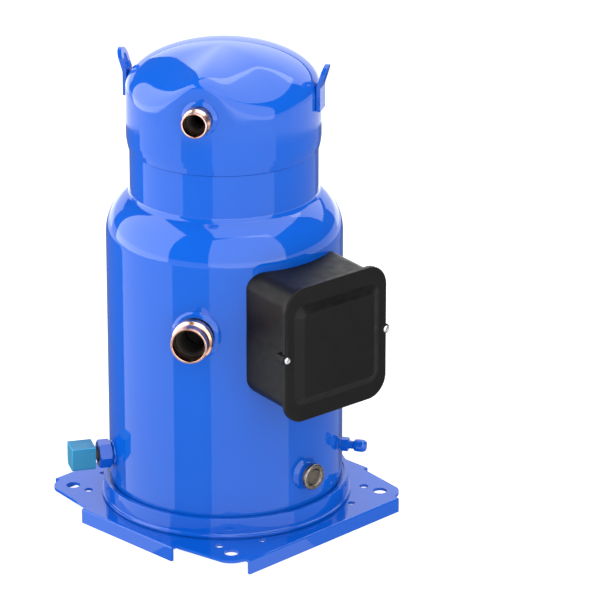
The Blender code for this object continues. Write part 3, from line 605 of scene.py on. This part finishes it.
def top_cap():
    """Drawn cap: straight wall, then a dome whose edge follows the wave."""
    steps = 240
    inner_r = NECK_R - 0.0015
    foot = filleted([(NECK_R - 0.0012, CAP_LOW, 0), (NECK_R + 0.0012, CAP_LOW, 0.0010),
                     (CAP_R - 0.0008, CAP_LOW + 0.0080, 0.004), (CAP_R, CAP_LOW + 0.0150, 0.006),
                     (CAP_R, 0.5200, 0)], 6)[:-1]
    levels = [(radius, height, 0.0, 0.0) for radius, height in foot]
    wall_steps, dome_steps = 14, 60
    start = levels[-1][1]
    for k in range(1, wall_steps + 1):
        share = k / wall_steps
        levels.append((CAP_R, start + (KNUCKLE_Z - start) * share, share, 0.0))
    for k in range(1, dome_steps + 1):
        turn = pi / 2 * k / dome_steps
        levels.append((CAP_R * cos(turn), KNUCKLE_Z, 1.0, sin(turn)))
    thin = 0.0042
    inside = [(inner_r, CAP_LOW, 0.0, 0.0), (inner_r, KNUCKLE_Z - thin, 1.0, 0.0)]
    for k in range(1, 13):
        turn = pi / 2 * k / 12
        inside.append((inner_r * cos(turn), KNUCKLE_Z - thin, 1.0, sin(turn)))
    work = bmesh.new()
    rings = []
    for surface, apex in ((levels, APEX_Z), (inside, APEX_Z - thin)):
        for radius, height, share, climb in surface:
            if radius < 1e-6:
                rings.append([work.verts.new((0, 0, apex))])
                continue
            ring = []
            for k in range(steps):
                turn = 2 * pi * k / steps
                level = height + scallop(degrees(turn)) * share
                level += (apex - level) * climb
                ring.append(work.verts.new((radius * cos(turn), radius * sin(turn), level)))
            rings.append(ring)
        rings.append(None)
    stitch(work, rings, steps)
    first_inside = rings.index(None) + 1
    bridge(work, rings[0], rings[first_inside], steps)
    cap = finish_mesh("cap_skin", work)
    combine(cap, round_tool(DISCHARGE_BORE - 0.0010, 0.100, 0.150, DISCHARGE))
    smooth(cap, 30)
    show(cap, "casing", "shell_paint", blue, "top_cap")


def bridge(work, here, there, steps):
    """Faces between two rings, either of which may be one point."""
    for k in range(steps):
        corners = [here[k % len(here)], here[(k + 1) % steps % len(here)],
                   there[(k + 1) % steps % len(there)], there[k % len(there)]]
        work.faces.new(list(dict.fromkeys(corners)))


def stitch(work, rings, steps):
    """Bridge each ring to the next; None ends a surface."""
    for here, there in zip(rings, rings[1:]):
        if here is not None and there is not None:
            bridge(work, here, there, steps)


def lifting_lugs():
    """Bent flat bars with a slotted eye and softly rounded edges."""
    thick, half, lean, bend_r = 0.0050, 0.0125, 17, 0.010
    for side in ("left", "right"):
        node = f"lifting_lug_{side}"
        angle = angle_of(mounts[f"lifting_eye_face_{side}"]["axis"])
        place = outward(angle, 0.0)
        near = min((place.inverted() @ v.co).z for v in frame["nodes"][node].data.vertices)
        foot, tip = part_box(node)[0].z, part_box(node)[1].z
        bend = 0.5630
        rise = (tip + 0.004 - bend)
        lean_run = rise * sin(radians(lean)) / cos(radians(lean))
        inner = [(foot, near, 0.0), (bend, near, bend_r + thick), (tip + 0.004, near + lean_run, 0)]
        outer = [(tip + 0.004, near + lean_run + thick / cos(radians(lean)), 0.0),
                 (bend - 0.001, near + thick, bend_r), (foot, near + thick, 0.0)]
        profile = filleted(inner + outer, 8)
        work = bmesh.new()
        face = work.faces.new([work.verts.new((-half, height, out)) for height, out in profile])
        lifted = bmesh.ops.extrude_face_region(work, geom=[face])
        moved = [part for part in lifted["geom"] if isinstance(part, bmesh.types.BMVert)]
        bmesh.ops.translate(work, verts=moved, vec=(2 * half, 0, 0))
        lug = finish_mesh(f"lug_{side}", work, place)
        blank = arc((0.0, tip - half), half, 0, 180, 24) + [(-half, 0.52), (half, 0.52)]
        combine(lug, finish_mesh("tool", extruded(blank, 0.08, 0.18), place), "INTERSECT")
        eye = arc((0.0, 0.5775), 0.0055, 0, 180, 16) + arc((0.0, 0.5700), 0.0055, 180, 360, 16)
        combine(lug, finish_mesh("tool", extruded(eye, 0.08, 0.18), place))
        soften(lug, 0.0008, 3)
        show(lug, "casing", "shell_paint", blue, node)


# ---------------------------------------------------------------- base plate
def base_plate():
    """Pressed plate with round notches, bent flanges and twelve punched holes."""
    low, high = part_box("base_plate")
    bolt_x, bolt_y, bolt_r = 0.1335, 0.1465, 0.0090
    inner_hole, outer_hole = (0.1295, 0.1215, 0.0057), (0.0800, 0.1475, 0.0047)
    corner, notch = 0.0245, 0.0045
    short_half, long_half = 0.0830, 0.1340
    half_x, half_y = high.x - PLATE_TOP - 0.0005, high.y - PLATE_TOP - 0.0005
    outline = []
    for sx, sy in ((1, 1), (-1, 1), (-1, -1), (1, -1)):
        quarter = [(half_x, short_half, 0.0), (half_x - 0.0045, short_half + 0.0002, 0.0015),
                   (half_x - 0.0045, short_half + notch, 0.0030),
                   (bolt_x + corner - 0.0005, bolt_y + 0.003, 0.010)]
        quarter += plain(arc((bolt_x, bolt_y), corner, 12, 78, 18))
        quarter += [(long_half + notch, bolt_y + corner - 0.0003, 0.0040),
                    (long_half + 0.0002, half_y - 0.0040, 0.0015), (long_half, half_y, 0.0)]
        mirrored = [(sx * x, sy * y, r) for x, y, r in quarter]
        outline += mirrored if sx * sy > 0 else mirrored[::-1]
    plate = finish_mesh("base_plate_skin", extruded(filleted(outline, 8), 0.0, PLATE_TOP))

    bend, outer_r = PLATE_TOP + 0.0005, 0.0022
    section = [(-0.0020, 0.0)] + [(0.0, 0.0)] + arc((0.0, -0.0005), 0.0005, 90, 0, 3)[1:]
    section += [(0.0005, low.z), (bend, low.z)]
    section += arc((bend - outer_r, PLATE_TOP - outer_r), outer_r, 0, 90, 8) + [(-0.0020, PLATE_TOP)]
    for half, reach, turn in ((short_half, half_x, 0), (long_half, half_y, 90),
                              (short_half, half_x, 180), (long_half, half_y, 270)):
        stand = Matrix.Rotation(radians(turn), 4, "Z") @ Matrix.Translation((reach, 0, 0))
        stand = stand @ Matrix.Rotation(radians(90), 4, "X")
        combine(plate, finish_mesh("tool", extruded(section, -half, half), stand), "UNION")
    opening = round_tool(0.0980, -0.01, 0.02, steps=96)
    combine(plate, opening)
    for sx in (-1, 1):
        for sy in (-1, 1):
            for x, y, radius in ((bolt_x, bolt_y, bolt_r), inner_hole, outer_hole):
                place = Matrix.Translation((sx * x, sy * y, 0))
                combine(plate, round_tool(radius, -0.01, 0.02, place))
    soften(plate, 0.0007, 2)
    show(plate, "casing", "shell_paint", blue, "base_plate")


# ---------------------------------------------------------------- refrigerant tubes
def tube_socket(name, node, place, bore, out):
    """Copper socket: swaged collar at the wall, straight sleeve, slightly belled mouth."""
    near, tip, collar = measured(node, place)
    lip = out + 0.0007
    bead_low = tip - 0.0230 if collar > 0.02 else tip - 0.0160
    neck = collar - 0.0030
    outline = [(bore - 0.002, near, 0), (neck, near, 0), (neck, bead_low - 0.004, 0.001)]
    outline += [(collar, bead_low - 0.002, 0.002), (collar, bead_low + 0.005, 0.0028)]
    outline += [(out, bead_low + 0.0085, 0.002), (out, tip - 0.0045, 0.003), (lip, tip - 0.002, 0.002)]
    outline += [(lip, tip, 0.0008), (bore, tip, 0.0008), (bore, tip - 0.0220, 0.0005)]
    outline += [(bore - 0.002, tip - 0.0225, 0.0005)]
    tube = lathe(name, outline, TUBE_STEPS, place, 6)
    show(tube, "casing", "copper", copper, node)
    # painted shade: near-black lining inside the bore
    throat = [(bore - 0.0048, near, 0), (bore - 0.0005, near, 0), (bore - 0.0005, tip - 0.0150, 0),
              (bore - 0.0030, tip - 0.0155, 0.0004), (bore - 0.0048, tip - 0.0185, 0)]
    show(lathe(f"{name}_throat", throat, TUBE_STEPS, place), "casing", "copper", bore_shade)


def tube_collar(name, node, place, wall):
    """Painted weld collar that rises smoothly out of the shell round a tube."""
    _, far, radius = measured(node, place)
    hole = radius - 0.0045 if radius > 0.025 else radius - 0.0030
    outline = [(hole, wall - 0.004, 0), (radius + 0.0030, wall - 0.004, 0)]
    outline += [(radius + 0.0030, wall - 0.0005, 0.001), (radius, far - 0.0008, 0.004)]
    outline += [(hole + 0.0004, far + 0.0005, 0.0015), (hole, far - 0.001, 0)]
    collar = lathe(name, outline, TUBE_STEPS, place, 8)
    show(collar, "casing", "shell_paint", blue, node)


# ---------------------------------------------------------------- terminal box
BOX_FRONT, COVER_FRONT = 0.2122, 0.2158
PANEL_RISE = 0.0055


def box_block(name, half_w, half_h, corner, low, high, proud=0.0):
    """Block whose top and bottom fall towards the front, its lower half prouder there."""
    lift, slope, step = 0.0051, 0.0690, 0.0007
    points = rounded_rectangle(half_w, half_h, corner)
    if proud:
        middle = len(points) // 2
        points.insert(middle, (-half_w, step - 0.0004))
        points.insert(middle, (-half_w, step + 0.0004))
        points += [(half_w, step - 0.0004), (half_w, step + 0.0004)]
    work = extruded(points, low, high)
    for point in work.verts:
        if point.co.y < step and point.co.z > BODY_R:
            point.co.x *= 1 + proud / half_w
        point.co.y += lift - slope * (point.co.z - BODY_R)
    return finish_mesh(name, work, BOX)


def screw_x():
    """Distance of the cover's screws from its middle."""
    middle = sum(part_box("cover_screw_right"), Vector()) / 2
    return abs((BOX.inverted() @ middle).x)


def terminal_box():
    """Moulded box with rounded corners, a step along its sides and an open front."""
    wall = 0.0030
    half_w, half_h, corner = 0.0735, 0.0811, 0.0220
    box = box_block("box_shell", half_w, half_h, corner, 0.115, BOX_FRONT, 0.0009)
    for side in (-1, 1):
        boss = rounded_rectangle(0.0065, 0.0052, 0.0035, 6)
        place = BOX @ Matrix.Translation((side * (screw_x() - 0.0025), 0, 0))
        combine(box, finish_mesh("tool", extruded(boss, 0.199, 0.2087), place), "UNION")
    combine(box, round_tool(BODY_R + 0.0003, 0.1, 0.45, steps=ROUND_STEPS))
    inside = box_block("hollow", half_w - wall, half_h - wall, corner - wall, 0.116, BOX_FRONT + 0.01)
    combine(inside, round_tool(BODY_R + 0.0031, 0.1, 0.45, steps=ROUND_STEPS))
    combine(box, inside)
    combine(box, round_tool(0.0340, 0.12, 0.18, BOX))
    entry = BOX @ Matrix.Translation((0.030, 0.0, 0.186)) @ Matrix.Rotation(radians(90), 4, "X")
    combine(box, round_tool(0.0127, 0.05, 0.10, entry))
    combine(box, round_tool(0.0024, 0.12, 0.16, BOX @ Matrix.Translation((0.052, 0.050, 0))))
    for side in (-1, 1):
        place = BOX @ Matrix.Translation((side * screw_x(), 0, 0))
        combine(box, round_tool(0.0026, 0.2030, 0.22, place))
    soften(box, 0.0003, 2, 50)
    show(box, "casing", "box_plastic", black, "terminal_box")


def box_cover():
    """Lid: short lip, soft front edge, raised bevelled panel and two screw ears."""
    back = measured("terminal_box_cover", BOX)[0]
    half_w, half_h, corner = 0.0822, 0.0880, 0.0285
    edge = 0.0020
    levels = [(half_w, half_h, corner, back)]
    for turn in range(0, 91, 15):
        inset = edge * (1 - cos(radians(turn)))
        depth = COVER_FRONT - edge + edge * sin(radians(turn))
        levels.append((half_w - inset, half_h - inset, corner - inset, depth))
    foot_w, foot_h, foot_corner = 0.0688, 0.0662, 0.0165
    run_w, run_h, run_corner = 0.0122, 0.0114, 0.0105
    levels.append((foot_w + 0.0005, foot_h + 0.0005, foot_corner + 0.0005, COVER_FRONT))
    for run, rise in ((0.03, 0.05), (0.10, 0.13), (0.90, 0.90), (0.97, 0.975), (1.05, 1.0)):
        levels.append((foot_w - run_w * run, foot_h - run_h * run, foot_corner - run_corner * min(run, 1),
                       COVER_FRONT + PANEL_RISE * rise))
    lid = finish_mesh("cover_skin", lofted(levels, 16), BOX, 40)
    for side in (-1, 1):
        ear = [(0, back, 0), (0.0066, back, 0.0003), (0.0066, COVER_FRONT + 0.0003, 0.0014),
               (0, COVER_FRONT + 0.0003, 0)]
        place = BOX @ Matrix.Translation((side * screw_x(), 0, 0))
        combine(lid, lathe("tool", ear, SMALL_STEPS, place), "UNION")
    hollow = box_block("tool", 0.0742, 0.0818, 0.0227, 0.19, BOX_FRONT + 0.0004)
    combine(lid, hollow)
    for side in (-1, 1):
        place = BOX @ Matrix.Translation((side * screw_x(), 0, 0))
        combine(lid, round_tool(0.0023, 0.19, 0.23, place))
    smooth(lid, 24)
    show(lid, "box_cover", "box_plastic", black, "terminal_box_cover")

    top = COVER_FRONT + PANEL_RISE
    mark = [(0.0, top - 0.0006, 0), (0.0019, top - 0.0006, 0), (0.0019, top + 0.0003, 0.0003),
            (0.0012, top + 0.0003, 0.0003), (0.0010, top - 0.0002, 0), (0.0, top - 0.0002, 0)]
    gate = lathe("cover_gate_mark", mark, 24, BOX @ Matrix.Translation((-0.0010, -0.0027, 0)))
    show(gate, "box_cover", "box_plastic", black)

    for side, name in ((-1, "cover_screw_left"), (1, "cover_screw_right")):
        place = BOX @ Matrix.Translation((side * screw_x(), 0, 0))
        seat = COVER_FRONT + 0.0004
        head = [(0, 0.2045, 0), (0.0021, 0.2045, 0), (0.0021, seat, 0), (0.0045, seat, 0.0006),
                (0.0045, seat + 0.0010, 0.0008), (0.0030, seat + 0.0026, 0.0012), (0, seat + 0.0028, 0)]
        screw = lathe(f"{name}_head", head, SMALL_STEPS, place)
        cross = [(-0.0026, -0.0004), (0.0026, -0.0004), (0.0026, 0.0004), (-0.0026, 0.0004)]
        for turn in (20, 110):
            spun = place @ Matrix.Rotation(radians(turn), 4, "Z")
            combine(screw, finish_mesh("tool", extruded(cross, seat + 0.0012, seat + 0.01), spun))
        show(screw, "box_cover", "steel", steel, name)


# ---------------------------------------------------------------- low fittings
def hexagon(name, corner_r, low, high, place, bore=0.0):
    """Hexagonal nut with turned chamfers, cut from a bar."""
    flat = corner_r * cos(radians(30))
    nut = finish_mesh(name, extruded(arc((0, 0), corner_r, 0, 300, 5), low, high), place)
    chamfer = (corner_r - flat) * 0.6
    turning = [(0, low - 0.001, 0), (flat, low - 0.0001, 0), (corner_r + 0.0003, low + chamfer, 0),
               (corner_r + 0.0003, high - chamfer, 0), (flat, high + 0.0001, 0), (0, high + 0.001, 0)]
    combine(nut, lathe("tool", turning, TUBE_STEPS, place), "INTERSECT")
    if bore:
        combine(nut, round_tool(bore, low - 0.01, high + 0.01, place))
    soften(nut, 0.0003, 2, 25)
    return nut


def sight_glass_set():
    """Painted boss, turned ring, window and the indicator behind it."""
    _, far, radius = measured("sight_glass_boss", SIGHT)
    wall = BODY_R
    boss = [(0.0116, wall - 0.004, 0), (radius + 0.003, wall - 0.004, 0),
            (radius + 0.003, wall - 0.0006, 0.001), (radius, wall + 0.0022, 0.0018),
            (0.0156, wall + 0.0040, 0.0022), (0.0152, far, 0.0010), (0.0116, far, 0)]
    boss = lathe("sight_boss_skin", boss, TUBE_STEPS, SIGHT, 6)
    show(boss, "casing", "shell_paint", blue, "sight_glass_boss")
    low, high, outer = measured("sight_glass_holder", SIGHT)
    ring = [(0.0078, low, 0), (0.0112, low, 0), (0.0112, far + 0.0003, 0), (outer, far + 0.0003, 0.0006),
            (outer, high - 0.0012, 0.0016), (outer - 0.0016, high, 0.0008), (0.0118, high, 0.0012),
            (0.0100, high - 0.0030, 0.0005), (0.0078, high - 0.0030, 0.0002)]
    holder = lathe("sight_ring", ring, TUBE_STEPS, SIGHT, 6)
    show(holder, "casing", "steel", aged_steel, "sight_glass_holder")
    face = measured("sight_glass_lens", SIGHT)[1]
    lens = [(0, face - 0.0060, 0), (0.0076, face - 0.0060, 0), (0.0076, face - 0.0016, 0),
            (0.0098, face - 0.0014, 0.0003), (0.0094, face - 0.0003, 0.0005),
            (0.0060, face, 0.004), (0, face, 0)]
    window = lathe("sight_window", lens, TUBE_STEPS, SIGHT, 6)
    show(window, "casing", "sight_glass", glass, "sight_glass_lens")
    back = [(0, face - 0.0085, 0), (0.0074, face - 0.0085, 0), (0.0074, face - 0.0066, 0.0003),
            (0.0052, face - 0.0066, 0.0003), (0.0048, face - 0.0078, 0.0003), (0, face - 0.0078, 0)]
    show(lathe("sight_indicator", back, TUBE_STEPS, SIGHT), "casing", "steel", dark_metal)


def injection_valve():
    """Hexagonal port on a weld neck, valve tube and the coil on it."""
    _, far, radius = measured("injection_port", INJECTION)
    wall = BODY_R
    port = hexagon("injection_hexagon", radius, wall + 0.0030, far + 0.0012, INJECTION, 0.0100)
    show(port, "casing", "shell_paint", blue, "injection_port")
    neck = [(0.0072, wall - 0.004, 0), (0.0165, wall - 0.004, 0), (0.0165, wall - 0.0004, 0.001),
            (0.0138, wall + 0.0022, 0.0022), (0.0136, wall + 0.0036, 0), (0.0072, wall + 0.0036, 0)]
    show(lathe("injection_weld_neck", neck, TUBE_STEPS, INJECTION, 6), "casing", "shell_paint", blue)
    inner = [(0.0066, wall, 0), (0.0099, wall, 0), (0.0099, far - 0.0030, 0.0006),
             (0.0066, far - 0.0050, 0.0006)]
    # painted shade: gland and valve tube get a dark metal
    show(lathe("injection_gland", inner, TUBE_STEPS, INJECTION), "casing", "steel", dark_metal)
    low, high, tube_r = measured("injection_valve_tube", INJECTION)
    tube = [(0.0044, low, 0), (tube_r, low, 0), (tube_r, high, 0.0008), (0, high, 0),
            (0, high - 0.0020, 0), (0.0044, high - 0.0020, 0)]
    show(lathe("valve_tube_skin", tube, TUBE_STEPS, INJECTION), "casing", "steel", dark_metal,
         "injection_valve_tube")
    start, end, _ = measured("injection_valve_coil", INJECTION)
    half, cut = 0.0155, 0.0040
    section = [(-half + cut, -half), (half - cut, -half), (half, -half + cut), (half, half),
               (-half, half), (-half, -half + cut)]
    coil = finish_mesh("coil_block", extruded(section, start, end), INJECTION)
    combine(coil, round_tool(0.0066, start - 0.01, end - 0.0033, INJECTION))
    soften(coil, 0.0009, 3, 30)
    show(coil, "coil", "coil_plastic", coil_blue, "injection_valve_coil")


def service_valve():
    """Small stem with a hexagon, and the cap screwed on its end."""
    far = measured("service_valve_body", SERVICE)[1]
    wall = BODY_R
    stem = [(0.0020, wall - 0.003, 0), (0.0088, wall - 0.003, 0), (0.0088, wall - 0.0002, 0.001),
            (0.0062, wall + 0.0020, 0.0018), (0.0056, wall + 0.0045, 0.001), (0.0056, wall + 0.0060, 0.0),
            (0.0039, wall + 0.0125, 0.0004), (0.0037, far, 0.0004), (0.0020, far, 0.0003)]
    body = lathe("service_stem", stem, SMALL_STEPS, SERVICE, 5)
    combine(body, hexagon("tool", 0.0092, 0.1530, 0.1625, SERVICE, 0.0030), "UNION")
    smooth(body, 25)
    show(body, "casing", "shell_paint", blue, "service_valve_body")
    start, end, radius = measured("service_valve_cap", SERVICE)
    cap = [(0.0043, start, 0), (0.0053, start, 0.0006), (0.0052, start + 0.0075, 0.0012),
           (radius - 0.0004, start + 0.0090, 0.0012), (radius, start + 0.0125, 0.0010),
           (radius, end - 0.0040, 0.0015), (radius - 0.0022, end - 0.0002, 0.0022), (0, end, 0),
           (0, end - 0.0070, 0), (0.0043, end - 0.0070, 0)]
    show(lathe("service_cap_skin", cap, TUBE_STEPS, SERVICE, 6), "service_cap", "shell_paint", blue,
         "service_valve_cap")


# ---------------------------------------------------------------- stage, light, camera
CAMERA_AZIMUTH = -43.98


def glowing(name, strength, base=0.0):
    """Pale surface that gives off its own even light."""
    material, tree, shader = blank_material(name)
    tree.links.new(ramp(tree, noise(tree, 2.0), grey(0.97 * base), grey(base)),
                   shader.inputs["Base Color"])
    shader.inputs["Roughness"].default_value = 0.9
    shader.inputs["Specular IOR Level"].default_value = 0.0
    shader.inputs["Emission Color"].default_value = (1, 1, 1, 1)
    shader.inputs["Emission Strength"].default_value = strength
    return material


def staged_mesh(name, points, faces, material):
    """Mesh for the stage, which is not part of the object."""
    mesh = bpy.data.meshes.new(name)
    mesh.from_pydata(points, [], faces)
    thing = bpy.data.objects.new(name, mesh)
    bpy.context.scene.collection.objects.link(thing)
    thing.data.materials.append(material)
    thing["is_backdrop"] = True
    return thing


def floor_card(name, start, end, strength):
    """Card on the floor that only gloss sees, between two directions from the camera's.

    Its sides follow the rays that a round wall of the shell's radius sends down to the floor."""
    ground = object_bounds()[0][2] + 0.0005
    steps, reach = 24, 1.50
    points = []
    for k in range(steps + 1):
        away = start + (end - start) * k / steps
        wall, ray = radians(CAMERA_AZIMUTH + away / 2), radians(CAMERA_AZIMUTH + away)
        near = Vector((sin(wall), -cos(wall), 0)) * BODY_R
        far = near + Vector((sin(ray), -cos(ray), 0)) * reach
        points += [(near.x, near.y, ground), (far.x, far.y, ground)]
    faces = [(2 * k, 2 * k + 2, 2 * k + 3, 2 * k + 1) for k in range(steps)]
    card = staged_mesh(name, points, faces, glowing(f"{name}_surface", strength))
    card.visible_camera = False
    card.visible_diffuse = False
    card.visible_shadow = False


def soft_box(name, away, width, distance, low, high, strength):
    """Upright soft box round the object, from low to high, its brightness as radiance."""
    lamp = bpy.data.lights.new(name, "AREA")
    lamp.shape = "RECTANGLE"
    lamp.size, lamp.size_y = width, high - low
    lamp.energy = strength * pi * width * (high - low)
    turn = radians(CAMERA_AZIMUTH + away)
    out = Vector((sin(turn), -cos(turn), 0.0))
    thing = bpy.data.objects.new(name, lamp)
    bpy.context.scene.collection.objects.link(thing)
    thing.location = out * distance + Vector((0, 0, (low + high) / 2))
    thing.rotation_euler = out.to_track_quat("Z", "Y").to_euler()


def ceiling_box(name, away, offset, width, depth, height, strength):
    """Level soft box overhead, moved sideways towards a direction from the camera's."""
    lamp = bpy.data.lights.new(name, "AREA")
    lamp.shape = "RECTANGLE"
    lamp.size, lamp.size_y = width, depth
    lamp.energy = strength * pi * width * depth
    turn = radians(CAMERA_AZIMUTH + away)
    thing = bpy.data.objects.new(name, lamp)
    bpy.context.scene.collection.objects.link(thing)
    thing.location = (sin(turn) * offset, -cos(turn) * offset, height)
    thing.rotation_euler = (0.0, 0.0, turn)


def floor_and_light():
    """Even white floor, with soft boxes standing round the shell and one overhead."""
    reach = 12.0
    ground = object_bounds()[0][2]
    corners = [(x * reach, y * reach, ground) for x, y in ((-1, -1), (1, -1), (1, 1), (-1, 1))]
    staged_mesh("floor", corners, [(0, 1, 2, 3)], glowing("pale_floor", 0.95, 0.25))

    world = bpy.data.worlds.new("studio")
    world.use_nodes = True
    back = world.node_tree.nodes["Background"]
    back.inputs["Color"].default_value = (1.0, 1.0, 1.0, 1.0)
    back.inputs["Strength"].default_value = 0.12
    bpy.context.scene.world = world

    floor_card("card_left", -118, -52, 1.5)
    floor_card("card_front", -52, -14, 0.45)
    floor_card("card_middle", -14, 64, 1.2)
    floor_card("card_right", 64, 150, 0.50)
    floor_card("card_back_right", 150, 180, 0.20)
    floor_card("card_back_left", -180, -118, 0.20)
    soft_box("left_box", -88, 2.40, 1.70, 0.0, 3.1, 3.2)
    soft_box("front_box", 21.5, 2.50, 1.70, 0.0, 2.95, 2.3)
    soft_box("back_box", 158, 2.90, 1.70, 1.00, 2.95, 2.1)
    soft_box("low_back_box", 180, 3.20, 1.75, 0.0, 0.98, 1.3)
    ceiling_box("top_box", 95, 0.95, 3.40, 3.00, 2.96, 2.4)


def camera():
    """Long lens, looking down at the corner of the base between box and tubes."""
    azimuth, distance, height = radians(CAMERA_AZIMUTH), 5.0, 2.232
    aim_right, aim_height = 0.0951, 0.2635
    eye = Vector((sin(azimuth) * distance, -cos(azimuth) * distance, height))
    right = Vector((cos(azimuth), sin(azimuth), 0.0))
    target = right * aim_right + Vector((0, 0, aim_height))
    lens = bpy.data.cameras.new("camera")
    lens.sensor_width = 36.0
    lens.lens = 254.2
    lens.clip_end = 50.0
    thing = bpy.data.objects.new("camera", lens)
    bpy.context.scene.collection.objects.link(thing)
    thing.location = eye
    thing.rotation_euler = (target - eye).to_track_quat("-Z", "Y").to_euler()
    bpy.context.scene.camera = thing


camera()
dress_cad_nodes()
main_shell()
skirt()
top_cap()
lifting_lugs()
base_plate()
tube_socket("suction_socket", "suction_tube", SUCTION, SUCTION_BORE, 0.0225)
tube_socket("discharge_socket", "discharge_tube", DISCHARGE, DISCHARGE_BORE, 0.0155)
tube_collar("suction_collar", "suction_fitting", SUCTION, BODY_R)
tube_collar("discharge_collar", "discharge_fitting", DISCHARGE, CAP_R)
terminal_box()
box_cover()
sight_glass_set()
injection_valve()
service_valve()
floor_and_light()
bpy.context.scene.view_settings.view_transform = "Standard"
